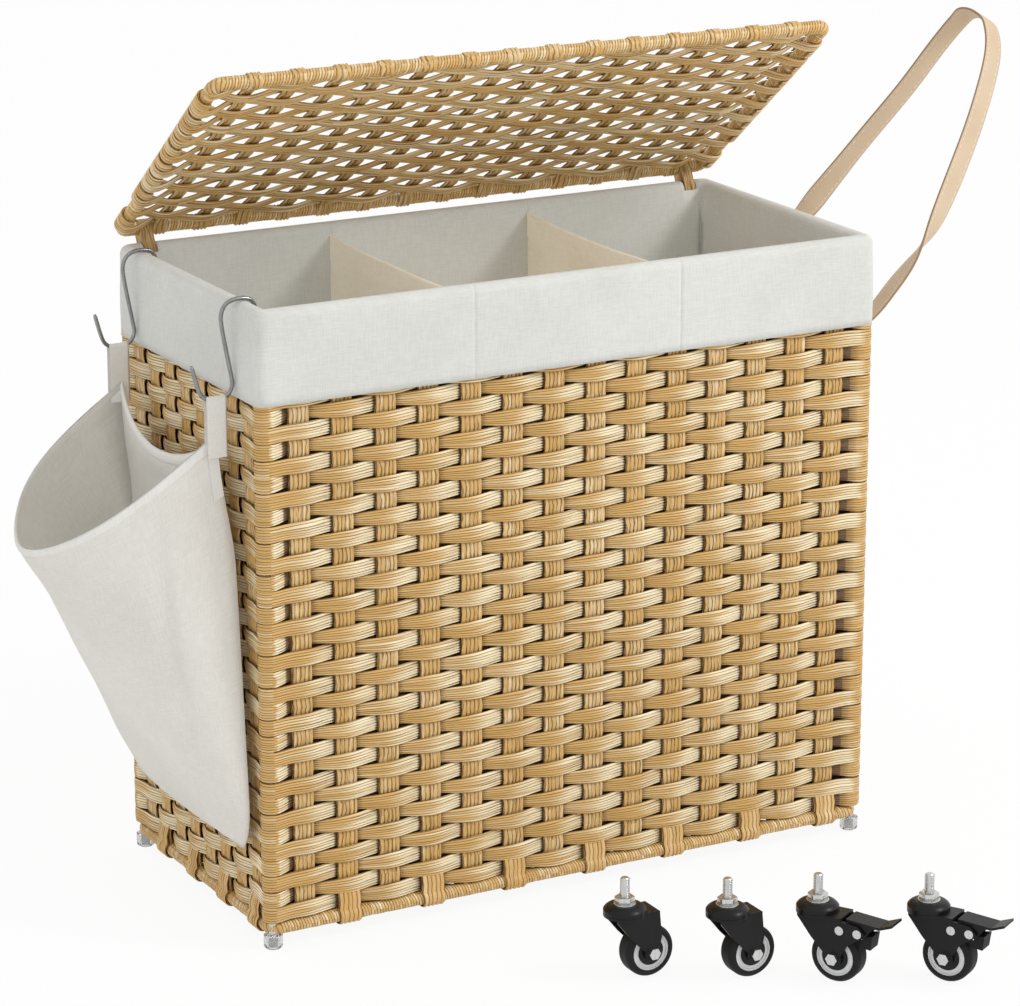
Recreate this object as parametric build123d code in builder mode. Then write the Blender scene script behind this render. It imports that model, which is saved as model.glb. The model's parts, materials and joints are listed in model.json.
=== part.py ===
"""Laundry sorter: a woven basket on clear feet with a hinged lid, a three-way cloth liner,
a side bag on two hooks, a carrying strap and a set of four screw-in castors beside it.

Millimetres. +X points to the strap's end, +Y to the lid's hinge, +Z up. The origin is on the
floor, in the middle of the four leg sockets.
"""
import os
from math import cos, radians, sin

from build123d import *

os.makedirs("parts", exist_ok=True)

# Basket, measured over the cloth that is folded over its rim
width = 666.0
depth = 320.0
height = 618.0
foot_height = 13.0
rail = 14.0  # wrapped rim and base rails
rail_bend = 8.0  # centreline radius of a rail's corners
post = 15.0
post_in = 1.2  # of a post's axis from the rails' sharp corner, along X and Y
bar = 8.0  # rods under the base
weave = 14.0  # woven wall, over the waves of its strips
wall_rows = 37  # strips, one above the other
stake_width = 21.0
stake_thick = 7.0
front_stakes = 14  # upright in each long wall
end_stakes = 8
corner_share = 0.55  # of a stake's pitch that is left for the corner posts
cloth = 1.5
gap = 0.3  # between neighbours
fit = 0.05  # radial, where one piece turns in another

# Leg sockets and feet
socket_bore = 6.8  # M8 thread, minor diameter
socket_wall = 1.1
socket_recess = 2.0  # above the floor
socket_depth = 48.0
foot_d = 18.0
foot_round = 3.0

# Liner
cuff_height = 89.0
divider_drop = 12.0  # below the rim
compartments = 3

# Lid, shown part open
lid_over = 0.5  # of the lid past each end of the basket
lid_reach = 290.0  # from its hinge rail to its front rail, between centrelines
lid_weave = 8.0
lid_rows = 19
lid_stake = 17.0
lid_gap = 5.0  # between its strips
lid_angle = 38.0
hinge_lift = 12.0  # of the hinge axis over the basket's rim
hinge_back = 2.0  # of the hinge axis behind the basket
tie_in = 30.0  # of a hinge tie from the basket's end
tie_width = 12.0
tie_strap = 1.5

# Side bag, its two loops and the hooks they hang on
hook_wire = 4.0
hook_y = 112.0
hook_drop = 89.0  # from the rim to the wire in the bottom of the hook
hook_tip = 34.0  # from that wire up to the hook's tip
hook_bottom = 26.0  # width of the hook's bottom
hook_out = 7.5  # from the basket's end to the hook's bottom
loop_width = 18.0
loop_length = 42.0
hem_cord = 5.0
bag_wall = 2.0
mouth_half = 112.0  # half the mouth's width where it is widest
mouth_back = 96.0  # half the mouth's width at the wall
mouth_reach = 185.0  # along the mouth's slope
mouth_slope = 34.6
bag_half = 137.0  # half width above the rounded bottom corners
bag_bottom = 95.0  # half width of the bottom seam
bag_low = 90.0
bag_corner = 48.0  # height of the rounded bottom corners
bag_seam = 12.0  # thickness of the bottom
bag_shift = -8.0  # of the bag's bottom along the wall

# Carrying strap
strap_width = 22.0
strap_thick = 3.0
staple_wire = 4.0
staple_width = 30.0
staple_out = 9.5  # from the woven wall to the pin's centre
staple_drop = 105.0  # of the pins below the rim
strap_y = 112.0  # half the distance between its ends
strap_tilt = 32.0  # of the strap's width below the horizontal along the loop

# Castors
wheel_d = 50.0
tyre_width = 20.0
hub_d = 37.0
hub_width = 18.0
hub_recess = 1.5  # round the dust cover
dust_d = 27.0
axle = 6.0
trail = 23.0  # from the stem's axis to the axle
sheet = 2.5
fork_gap = 1.2  # between a tyre and a fork plate
crown_z = 63.0
crown_d = 40.0
cap_height = 8.0
kingpin = 10.0
collar_af = 13.0
collar_height = 6.0
stem_d = 8.0
stem_length = 20.0
pin = 5.0  # rivets of the brake
pedal_x = 47.0  # the pedal's pivot, from the stem's axis
pedal_z = 54.0
guide_x = 29.0
pedal_reach = 80.0
castors = (  # stem's place on the floor, heading of the wheel, with a brake or not
    (-69.0, -370.0, 0.0, False),
    (13.0, -416.5, 0.0, False),
    (92.0, -447.0, -58.7, True),
    (182.0, -496.0, -58.7, True),
)

# Places that follow from the sizes above
inset = cloth + gap + rail / 2
half_w = width / 2 - inset
half_d = depth / 2 - inset
rim_z = height - cloth - gap - rail / 2
base_z = foot_height + rail / 2
post_x = half_w - post_in
post_y = half_d - post_in
bay_x = width / compartments / 2
wall_low = base_z + rail / 2 + gap
wall_high = rim_z - rail / 2 - gap
wall_mid = (wall_low + wall_high) / 2
front_pitch = 2 * half_w / (front_stakes + corner_share)
end_pitch = 2 * half_d / (end_stakes + corner_share)
row_pitch = (wall_high - wall_low) / wall_rows
socket_d = socket_bore + 2 * socket_wall
liner_x = half_w - rail / 2 - gap  # outer faces of the liner
liner_y = half_d - rail / 2 - gap
hinge_y = depth / 2 + hinge_back
hinge_z = height + hinge_lift
lid_width = width + 2 * lid_over
tie_x = width / 2 - tie_in
tie_room = (tie_width + 4 * gap, 2 * weave, 4 * tie_strap)  # in the back wall, round the rim
staple_z = height - staple_drop

UP = (Align.CENTER, Align.CENTER, Align.MIN)
DOWN = (Align.CENTER, Align.CENTER, Align.MAX)


# Frame
with BuildPart() as top_rail:
    with BuildLine(Plane.XY.offset(rim_z)):
        route = FilletPolyline(
            (half_w, -half_d), (half_w, half_d), (-half_w, half_d), (-half_w, -half_d),
            radius=rail_bend, close=True,
        )
    with BuildSketch(Plane(origin=route @ 0, z_dir=route % 0)):
        Circle(rail / 2)
    sweep()
top_rail.part.label = "top_rail"
export_step(top_rail.part, "parts/top_rail.step")

with BuildPart() as bottom_rail:
    with BuildLine(Plane.XY.offset(base_z)):
        route = FilletPolyline(
            (half_w, -half_d), (half_w, half_d), (-half_w, half_d), (-half_w, -half_d),
            radius=rail_bend, close=True,
        )
    with BuildSketch(Plane(origin=route @ 0, z_dir=route % 0)):
        Circle(rail / 2)
    sweep()
    with Locations((0, 0, base_z)), GridLocations(2 * post_x, 2 * post_y, 2, 2):
        Cylinder(socket_d / 2 + fit, 2 * rail, mode=Mode.SUBTRACT)
bottom_rail.part.label = "bottom_rail"
export_step(bottom_rail.part, "parts/bottom_rail.step")

with BuildPart() as corner_posts:
    with Locations((0, 0, wall_low)), GridLocations(2 * post_x, 2 * post_y, 2, 2):
        Cylinder(post / 2, wall_high - wall_low, align=UP)
    with Locations((0, 0, socket_recess)), GridLocations(2 * post_x, 2 * post_y, 2, 2):
        Cylinder(socket_d / 2 + fit, socket_depth + gap, align=UP, mode=Mode.SUBTRACT)
corner_posts.part.label = "corner_posts"
export_step(corner_posts.part, "parts/corner_posts.step")

with BuildPart() as uprights:
    with Locations((0, 0, wall_low)), GridLocations(front_pitch, 2 * half_d, front_stakes, 2):
        Box(stake_width, stake_thick, wall_high - wall_low, align=UP)
    with Locations((0, 0, wall_low)), GridLocations(2 * half_w, end_pitch, 2, end_stakes):
        Box(stake_thick, stake_width, wall_high - wall_low, align=UP)
    with Locations((-tie_x, half_d, wall_high), (tie_x, half_d, wall_high)):
        Box(*tie_room, mode=Mode.SUBTRACT)
uprights.part.label = "uprights"
export_step(uprights.part, "parts/uprights.step")

with BuildPart() as base_bars:
    with BuildSketch(Plane.XZ):
        with Locations((-bay_x, base_z), (bay_x, base_z)):
            Circle(bar / 2)
    extrude(amount=half_d - rail / 2 - gap, both=True)
base_bars.part.label = "base_bars"
export_step(base_bars.part, "parts/base_bars.step")

with BuildPart() as leg_sockets:
    with Locations((0, 0, socket_recess)), GridLocations(2 * post_x, 2 * post_y, 2, 2):
        Cylinder(socket_d / 2, socket_depth, align=UP)
        Cylinder(socket_bore / 2, socket_depth, align=UP, mode=Mode.SUBTRACT)
leg_sockets.part.label = "leg_sockets"
export_step(leg_sockets.part, "parts/leg_sockets.step")

with BuildPart() as feet:
    with BuildSketch():
        with GridLocations(2 * post_x, 2 * post_y, 2, 2):
            Circle(foot_d / 2)
            Circle(socket_d / 2 + fit, mode=Mode.SUBTRACT)
    extrude(amount=foot_height - fit)
    rims = feet.edges().filter_by(GeomType.CIRCLE).group_by(SortBy.RADIUS)[-1]
    fillet(rims.group_by(Axis.Z)[0], radius=foot_round)
feet.part.label = "feet"
export_step(feet.part, "parts/feet.step")


# Woven walls and base. In each row, a strip passes over every second stake and the others show
slot_width = stake_width + 2 * fit
woven = {}
for name, reach, stakes, pitch in (
    ("long", post_x, front_stakes, front_pitch), ("end", post_y, end_stakes, end_pitch)
):
    windows = [
        ((n - (stakes - 1) / 2) * pitch, -weave / 2, wall_low + row * row_pitch)
        for row in range(wall_rows) for n in range((row + 1) % 2, stakes, 2)
    ]
    with BuildPart() as wall:
        with Locations((0, 0, wall_mid)):
            Box(2 * (reach - post / 2 - gap), weave, wall_high - wall_low)
            with GridLocations(pitch, 0, stakes, 1):
                Box(slot_width, stake_thick + 2 * fit, wall_high - wall_low, mode=Mode.SUBTRACT)
        with Locations(*windows):
            Box(slot_width, weave, row_pitch, align=UP, mode=Mode.SUBTRACT)
    woven[name] = wall

for label, turn, reach, wall in (
    ("front_panel", 0, half_d, woven["long"]), ("back_panel", 180, half_d, woven["long"]),
    ("left_panel", -90, half_w, woven["end"]), ("right_panel", 90, half_w, woven["end"]),
):
    with BuildPart() as panel:
        add(wall.part.moved(Location((0, 0, 0), (0, 0, turn)) * Location((0, -reach, 0))))
        if label == "back_panel":
            with Locations((-tie_x, half_d, wall_high), (tie_x, half_d, wall_high)):
                Box(*tie_room, mode=Mode.SUBTRACT)
    panel.part.label = label
    export_step(panel.part, f"parts/{label}.step")

with BuildPart() as base_panel:
    with Locations((0, 0, base_z)):
        Box(2 * (half_w - rail / 2 - gap), 2 * (half_d - rail / 2 - gap), weave)
    with BuildSketch(Plane.XZ):
        with Locations((-bay_x, base_z), (bay_x, base_z)):
            Circle(bar / 2 + fit)
    extrude(amount=half_d, both=True, mode=Mode.SUBTRACT)
base_panel.part.label = "base_panel"
export_step(base_panel.part, "parts/base_panel.step")


# Liner: a floor, four walls and the dividers between its compartments, sewn to a cuff
floor_z = base_z + weave / 2 + gap
wall_foot = floor_z + cloth
wall_top = height - cloth
notch = tie_width + 8 * gap  # the slits that the hinge ties come out of
notch_z = rim_z - rail / 2 - 4 * tie_strap

with BuildPart() as liner_floor:
    with Locations((0, 0, floor_z)):
        Box(2 * liner_x, 2 * liner_y, cloth, align=UP)
liner_floor.part.label = "liner_floor"
export_step(liner_floor.part, "parts/liner_floor.step")

with BuildPart() as liner_front:
    with Locations((0, -liner_y + cloth / 2, wall_foot)):
        Box(2 * liner_x, cloth, wall_top - wall_foot, align=UP)
liner_front.part.label = "liner_front"
export_step(liner_front.part, "parts/liner_front.step")

with BuildPart() as liner_back:
    with Locations((0, liner_y - cloth / 2, wall_foot)):
        Box(2 * liner_x, cloth, wall_top - wall_foot, align=UP)
    with Locations((-tie_x, liner_y, notch_z), (tie_x, liner_y, notch_z)):
        Box(notch, 4 * cloth, height, align=UP, mode=Mode.SUBTRACT)
liner_back.part.label = "liner_back"
export_step(liner_back.part, "parts/liner_back.step")

with BuildPart() as liner_ends:
    with Locations((-liner_x + cloth / 2, 0, wall_foot), (liner_x - cloth / 2, 0, wall_foot)):
        Box(cloth, 2 * (liner_y - cloth), wall_top - wall_foot, align=UP)
liner_ends.part.label = "liner_ends"
export_step(liner_ends.part, "parts/liner_ends.step")

with BuildPart() as liner_dividers:
    with Locations((-bay_x, 0, wall_foot), (bay_x, 0, wall_foot)):
        Box(2 * cloth, 2 * (liner_y - cloth), height - divider_drop - wall_foot, align=UP)
liner_dividers.part.label = "liner_dividers"
export_step(liner_dividers.part, "parts/liner_dividers.step")

lap_y = depth / 2 - liner_y + cloth  # width of the cuff across the rim
lap_x = width / 2 - liner_x + cloth
with BuildPart() as liner_cuff:
    with Locations((0, cloth / 2 - depth / 2, height), (0, depth / 2 - cloth / 2, height)):
        Box(width, cloth, cuff_height, align=DOWN)
    with Locations((0, lap_y / 2 - depth / 2, height), (0, depth / 2 - lap_y / 2, height)):
        Box(width, lap_y, cloth, align=DOWN)
    with Locations((-tie_x, half_d, notch_z), (tie_x, half_d, notch_z)):
        Box(notch, 3 * rail, height, align=UP, mode=Mode.SUBTRACT)
with BuildPart() as cuff_ends:
    end_flap = cuff_height - cloth
    with Locations((cloth / 2 - width / 2, 0, wall_top), (width / 2 - cloth / 2, 0, wall_top)):
        Box(cloth, depth - 2 * cloth, end_flap, align=DOWN)
    with Locations((lap_x / 2 - width / 2, 0, height), (width / 2 - lap_x / 2, 0, height)):
        Box(lap_x, depth - 2 * lap_y, cloth, align=DOWN)
liner_cuff.part.label = "liner_cuff"
export_step(liner_cuff.part, "parts/liner_cuff.step")
cuff_ends.part.label = "cuff_ends"
export_step(cuff_ends.part, "parts/cuff_ends.step")


# Lid, drawn in its own plane: from the hinge rail out to the front rail
lid_plane = Plane(
    origin=(0, hinge_y, hinge_z), x_dir=(-1, 0, 0),
    z_dir=(0, sin(radians(lid_angle)), cos(radians(lid_angle))),
)
lid_half = lid_width / 2 - rail / 2
lid_pitch = (lid_reach - rail - 2 * gap) / lid_rows

with BuildPart() as lid_frame:
    with BuildLine(lid_plane):
        route = FilletPolyline(
            (-lid_half, 0), (lid_half, 0), (lid_half, lid_reach), (-lid_half, lid_reach),
            radius=rail_bend, close=True,
        )
    with BuildSketch(Plane(origin=route @ 0, z_dir=route % 0)):
        Circle(rail / 2)
    sweep()
lid_frame.part.label = "lid_frame"
export_step(lid_frame.part, "parts/lid_frame.step")

with BuildPart() as lid_panel:
    with BuildSketch(lid_plane.offset(-lid_weave / 2)):
        with Locations((0, lid_reach / 2)):
            Rectangle(lid_width - 2 * (rail + gap), lid_reach - rail - 2 * gap)
        with Locations((-tie_x, rail / 2), (tie_x, rail / 2)):
            Rectangle(tie_width + 8 * gap, 2 * rail, mode=Mode.SUBTRACT)
        with Locations((0, lid_reach / 2)):
            with GridLocations(front_pitch, lid_pitch, front_stakes - 1, lid_rows - 1):
                Rectangle(front_pitch - lid_stake, lid_gap, mode=Mode.SUBTRACT)
    extrude(amount=lid_weave)
lid_panel.part.label = "lid_panel"
export_step(lid_panel.part, "parts/lid_panel.step")

with BuildPart() as hinge_ties:
    for x in (-tie_x, tie_x):
        with BuildSketch(Plane.YZ.offset(x - tie_width / 2)):
            with Locations((hinge_y, hinge_z), (half_d, rim_z)):
                Circle(rail / 2 + fit + tie_strap)
            make_hull()
            with Locations((hinge_y, hinge_z), (half_d, rim_z)):
                Circle(rail / 2 + fit, mode=Mode.SUBTRACT)
        extrude(amount=tie_width)
hinge_ties.part.label = "hinge_ties"
export_step(hinge_ties.part, "parts/hinge_ties.step")


# Side bag: two wire hooks over the rim, a loop in each, and the bag on a corded hem
wire_r = hook_wire / 2
end_x = -width / 2
over_z = height + gap + wire_r
bottom_z = height - hook_drop
bottom_x = end_x - hook_out  # inner end of the hook's bottom
loop_x = bottom_x - hook_bottom / 2

with BuildPart() as side_hooks:
    for y in (-hook_y, hook_y):
        with BuildLine(Plane(origin=(0, y, 0), x_dir=(1, 0, 0), z_dir=(0, -1, 0))):
            route = FilletPolyline(
                (end_x + lap_x + hook_wire, over_z - 2 * rail),
                (end_x + lap_x + hook_wire, over_z),
                (end_x - rail / 2, over_z),
                (end_x - rail, over_z - rail),
                (end_x - wire_r - 2 * gap, bottom_z + rail),
                (bottom_x, bottom_z),
                (bottom_x - hook_bottom, bottom_z),
                (bottom_x - hook_bottom - 0.3 * hook_tip, bottom_z + hook_tip),
                radius=[hook_wire, 2 * hook_wire, 2 * hook_wire, rail, hook_wire, hook_wire],
            )
        with BuildSketch(Plane(origin=route @ 0, z_dir=route % 0)):
            Circle(wire_r)
        sweep()
side_hooks.part.label = "side_hooks"
export_step(side_hooks.part, "parts/side_hooks.step")

hem_z = bottom_z - loop_length
slot = hook_wire + 2 * gap
eye_d = hem_cord + 2 * fit + 2 * bag_wall
with BuildPart() as bag_loops:
    for y in (-hook_y, hook_y):
        with BuildSketch(Plane.YZ.offset(loop_x - loop_width / 2)):
            with Locations((y, bottom_z)):
                Circle(slot / 2 + cloth)
            with Locations((y, hem_z)):
                Circle(slot / 2 + cloth)
            make_hull()
            with Locations((y, bottom_z)):
                Circle(slot / 2, mode=Mode.SUBTRACT)
            with Locations((y, (bottom_z + hem_z + eye_d / 2) / 2)):
                Rectangle(slot, bottom_z - hem_z - eye_d / 2, mode=Mode.SUBTRACT)
        extrude(amount=loop_width)
        with Locations(Location((loop_x, y, hem_z), (90, 0, 0))):
            Cylinder(eye_d / 2, slot + 2 * cloth)
            Cylinder(hem_cord / 2 + fit, loop_width, mode=Mode.SUBTRACT)
bag_loops.part.label = "bag_loops"
export_step(bag_loops.part, "parts/bag_loops.step")

with BuildPart() as bag_hem:
    with Locations(Location((loop_x, 0, hem_z), (90, 0, 0))):
        Cylinder(hem_cord / 2, 2 * hook_y + loop_width)
bag_hem.part.label = "bag_hem"
export_step(bag_hem.part, "parts/bag_hem.step")

slope = radians(mouth_slope)
mouth_z = hem_z - hem_cord / 2 - gap
seam_x = end_x - 2 * hook_wire  # back of the bag at its bottom, against the basket
mouth = Plane(
    origin=(loop_x + bag_wall / 2, 0, mouth_z), x_dir=(-cos(slope), 0, -sin(slope)),
    z_dir=(-sin(slope), 0, cos(slope)),
)
bend = Plane((seam_x, bag_shift, bag_low + bag_corner), x_dir=(-1, 0, 0))
seam = Plane((seam_x, bag_shift, bag_low), x_dir=(-1, 0, 0))

with BuildPart() as side_bag:
    for wall, mode in ((0.0, Mode.ADD), (bag_wall, Mode.SUBTRACT)):
        for plane, back, side, reach in (
            (seam.offset(wall), bag_bottom, bag_bottom, bag_seam),
            (bend, bag_half, bag_half, 2 * bag_seam),
            (mouth, mouth_back, mouth_half, mouth_reach),
        ):
            with BuildSketch(plane):
                with BuildLine():
                    Polyline(
                        (reach / 2, wall - side), (wall, wall - back),
                        (wall, back - wall), (reach / 2, side - wall),
                    )
                    ThreePointArc(
                        (reach / 2, side - wall), (reach - wall, 0), (reach / 2, wall - side)
                    )
                make_face()
        loft(ruled=True, mode=mode)
side_bag.part.label = "side_bag"
export_step(side_bag.part, "parts/side_bag.step")


# Carrying strap: a loop whose ends turn on the pins of two wire staples
pin_x = half_w + weave / 2 + staple_out
pin_r = staple_wire / 2

with BuildPart() as strap_staples:
    for y in (-strap_y, strap_y):
        with BuildLine(Plane.XY.offset(staple_z)):
            route = FilletPolyline(
                (half_w + weave / 2, y - staple_width / 2), (pin_x, y - staple_width / 2),
                (pin_x, y + staple_width / 2), (half_w + weave / 2, y + staple_width / 2),
                radius=0.75 * staple_wire,
            )
        with BuildSketch(Plane(origin=route @ 0, z_dir=route % 0)):
            Circle(pin_r)
        sweep()
strap_staples.part.label = "strap_staples"
export_step(strap_staples.part, "parts/strap_staples.step")

strap_half = (  # out from the pins, from the middle and up from the pins, wall to crown
    (2.8, 112.0, 2.2), (24.0, 111.0, 17.0), (45.0, 109.0, 36.5), (73.0, 105.0, 63.0),
    (100.0, 100.0, 94.0), (137.0, 85.0, 144.0), (173.0, 66.0, 195.0), (201.0, 47.0, 243.0),
    (212.0, 28.0, 270.0), (211.0, 11.0, 280.0),
)
strap_route = [Vector(pin_x + x, -y, staple_z + z) for x, y, z in strap_half]
strap_route += [Vector(p.X, -p.Y, p.Z) for p in reversed(strap_route)]
tilted = Vector(cos(radians(strap_tilt)), 0, -sin(radians(strap_tilt)))
flat_run = 3  # stations at each end where the strap lies flat to the wall
twist_run = 3  # stations over which it then turns on edge

with BuildPart() as handle_strap:
    last = len(strap_route) - 1
    for n, point in enumerate(strap_route):
        before, after = strap_route[max(n - 1, 0)], strap_route[min(n + 1, last)]
        along = (after - before).normalized()
        turned = min(max(min(n, last - n) - flat_run + 1, 0) / twist_run, 1)
        side = 1 if n <= last - n else -1
        across = Vector(0, side * (1 - turned), 0) + tilted * turned
        across = (across - along * across.dot(along)).normalized()
        with BuildSketch(Plane(origin=point, x_dir=across, z_dir=along)):
            Rectangle(strap_width, strap_thick)
    loft(ruled=True)
    for y in (-strap_y, strap_y):
        with Locations(Location((pin_x, y, staple_z), (90, 0, 0))):
            Cylinder(pin_r + fit + strap_thick, strap_width)
            Cylinder(pin_r + fit, staple_width, mode=Mode.SUBTRACT)
handle_strap.part.label = "handle_strap"
export_step(handle_strap.part, "parts/handle_strap.step")


# Castors, drawn with the stem's axis on Z and the wheel trailing along +X
wheel_r = wheel_d / 2
plate = tyre_width / 2 + fork_gap  # inner face of a fork plate
cap_z = crown_z + sheet + gap
collar_z = cap_z + cap_height
stem_top = collar_z + collar_height + stem_length

with BuildPart() as stem:
    with Locations((0, 0, crown_z - gap)):
        Cylinder(0.8 * kingpin, sheet, align=DOWN)
    with Locations((0, 0, crown_z - gap)):
        Cylinder(kingpin / 2, collar_z - crown_z + gap, align=UP)
    with BuildSketch(Plane.XY.offset(collar_z)):
        RegularPolygon(collar_af / 2, 6, major_radius=False)
    extrude(amount=collar_height)
    with Locations((0, 0, collar_z)):
        Cylinder(stem_d / 2, collar_height + stem_length, align=UP)
    chamfer(stem.edges().sort_by(Axis.Z)[-1], length=stem_d / 10)

with BuildPart() as cap:
    with BuildSketch(Plane.XZ):
        with BuildLine():
            Polyline(
                (kingpin / 2 + fit, cap_z), (crown_d / 2, cap_z),
                (crown_d / 2, cap_z + 0.4 * cap_height),
            )
            ThreePointArc(
                (crown_d / 2, cap_z + 0.4 * cap_height),
                (0.45 * crown_d, cap_z + 0.7 * cap_height),
                (0.3 * crown_d, cap_z + cap_height),
            )
            Polyline(
                (0.3 * crown_d, cap_z + cap_height), (kingpin / 2 + fit, cap_z + cap_height),
                (kingpin / 2 + fit, cap_z),
            )
        make_face()
    revolve(axis=Axis.Z)

with BuildPart() as hub:
    with BuildSketch(Plane.XZ.offset(-hub_width / 2)):
        with Locations((trail, wheel_r)):
            Circle(hub_d / 2)
            Circle(axle / 2 + fit, mode=Mode.SUBTRACT)
    extrude(amount=hub_width)
    with BuildSketch(Plane.XZ.offset(-hub_width / 2), Plane.XZ.offset(hub_width / 2 - hub_recess)):
        with Locations((trail, wheel_r)):
            Circle(hub_d / 2 - hub_recess)
            Circle(dust_d / 2, mode=Mode.SUBTRACT)
    extrude(amount=hub_recess, mode=Mode.SUBTRACT)

with BuildPart() as tyre:
    with BuildSketch(Plane.XZ.offset(-tyre_width / 2)):
        with Locations((trail, wheel_r)):
            Circle(wheel_r)
            Circle(hub_d / 2 + fit, mode=Mode.SUBTRACT)
    extrude(amount=tyre_width)
    treads = tyre.edges().filter_by(GeomType.CIRCLE).group_by(SortBy.RADIUS)[-1]
    fillet(treads, radius=tyre_width / 4)

with BuildPart() as axle_bolt:
    with BuildSketch(Plane.XZ.offset(-plate - sheet)):
        with Locations((trail, wheel_r)):
            Circle(axle / 2)
    extrude(amount=2 * (plate + sheet))
    with BuildSketch(Plane.XZ.offset(plate + sheet), Plane.XZ.offset(-plate - 2.6 * sheet)):
        with Locations((trail, wheel_r)):
            RegularPolygon(0.85 * axle, 6, major_radius=False)
    extrude(amount=1.6 * sheet)

crown_low = crown_z - 0.3 * cap_height
plain_outline = (
    (-0.36 * crown_d, crown_z), (1.3 * trail, crown_z), (1.4 * trail, 1.6 * wheel_r),
    (trail + axle, wheel_r), (trail - axle, wheel_r), (0, 1.7 * wheel_r),
    (-0.36 * crown_d, crown_low),
)
braked_outline = (
    (-0.36 * crown_d, crown_z), (1.3 * trail, crown_z), (pedal_x, pedal_z + 1.4 * pin),
    (pedal_x + 1.4 * pin, pedal_z), (pedal_x, pedal_z - 1.4 * pin),
    (1.6 * trail, 1.6 * wheel_r), (trail + axle, wheel_r), (trail - axle, wheel_r),
    (0, 1.7 * wheel_r), (-0.36 * crown_d, crown_low),
)
forks = {}
for braked, outline in ((False, plain_outline), (True, braked_outline)):
    with BuildPart() as fork:
        with BuildSketch(Plane.XZ.offset(plate)):
            with BuildLine():
                Polyline(*outline, close=True)
            make_face()
            with Locations((trail, wheel_r)):
                Circle(1.4 * axle)
                Circle(axle / 2, mode=Mode.SUBTRACT)
            if braked:
                with Locations((guide_x, pedal_z), (pedal_x, pedal_z)):
                    Circle(pin / 2, mode=Mode.SUBTRACT)
        extrude(amount=sheet)
        mirror(about=Plane.XZ)
        with BuildSketch(Plane.XY.offset(crown_z)):
            Circle(crown_d / 2)
            with Locations((0.65 * trail, 0)):
                Rectangle(1.3 * trail, 2 * (plate + sheet))
            Circle(kingpin / 2 + fit, mode=Mode.SUBTRACT)
        extrude(amount=sheet)
    forks[braked] = fork

with BuildPart() as brake_pins:
    with BuildSketch(Plane.XZ.offset(-plate - sheet)):
        with Locations((guide_x, pedal_z), (pedal_x, pedal_z)):
            Circle(pin / 2)
    extrude(amount=2 * (plate + sheet))
    with BuildSketch(Plane.XZ.offset(plate + sheet), Plane.XZ.offset(-plate - 1.5 * sheet)):
        with Locations((guide_x, pedal_z), (pedal_x, pedal_z)):
            Circle(0.85 * pin)
    extrude(amount=sheet / 2)

pedal_half = plate - gap
with BuildPart() as brake_pedal:
    with BuildSketch(Plane.XZ):
        with BuildLine():
            Polyline(
                (guide_x + pin, crown_z), (pedal_x + 4 * pin, crown_z - sheet),
                (pedal_reach, crown_z + sheet), (pedal_reach, crown_z + 2 * sheet),
                (pedal_x + 4 * pin, crown_z), (guide_x + pin, crown_z + sheet), close=True,
            )
        make_face()
    extrude(amount=pedal_half, both=True)
    with BuildSketch(Plane.XZ.offset(pedal_half - sheet)):
        with BuildLine():
            Polyline(
                (guide_x + 1.4 * pin, crown_z), (pedal_x - pin, pedal_z - pin),
                (pedal_x + pin, pedal_z - pin), (pedal_x + 3 * pin, crown_z - sheet / 2),
                close=True,
            )
        make_face()
    extrude(amount=sheet)
    mirror(about=Plane.XZ)
    with BuildSketch(Plane.XZ):
        with Locations((pedal_x, pedal_z)):
            Circle(pin / 2 + fit)
    extrude(amount=plate, both=True, mode=Mode.SUBTRACT)

shoe_half = pedal_half - sheet - gap
with BuildPart() as brake_shoe:
    with BuildSketch(Plane.XZ):
        with BuildLine():
            Polyline(
                (pedal_x + 0.6 * pin, pedal_z - 0.8 * pin), (pedal_x + 2.6 * pin, pedal_z - 0.4 * pin),
                (pedal_x + 2.2 * pin, pedal_z - 3.2 * pin), (pedal_x + 0.1 * pin, pedal_z - 3 * pin),
                close=True,
            )
        make_face()
    extrude(amount=shoe_half, both=True)

for number, (x, y, heading, braked) in enumerate(castors, start=1):
    place = Location((x, y, 0), (0, 0, heading))
    pieces = {
        "stem": stem, "cap": cap, "fork": forks[braked], "axle": axle_bolt,
        "hub": hub, "tyre": tyre,
    }
    if braked:
        pieces |= {"pins": brake_pins, "pedal": brake_pedal, "shoe": brake_shoe}
    for name, piece in pieces.items():
        placed = piece.part.moved(place)
        placed.label = f"castor_{number}_{name}"
        export_step(placed, f"parts/castor_{number}_{name}.step")
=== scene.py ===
# %% [markdown]
# # A woven laundry sorter
# A basket woven from split rush stands on clear feet. Its lid is part open, a cloth liner is
# folded over its rim, a bag hangs at its left end, a strap arches from its right end, and four
# castors stand in front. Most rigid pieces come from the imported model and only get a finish.
# Everything woven, sewn or wrapped is made here, and so are the hooks and the castors' threads,
# nuts and hub covers, in the same frame, in metres.

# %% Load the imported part
import json
import math
import random
from bisect import bisect_right

import bmesh
import bpy
from mathutils import Matrix, Vector, noise
from mathutils.geometry import interpolate_bezier as bezier


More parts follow.
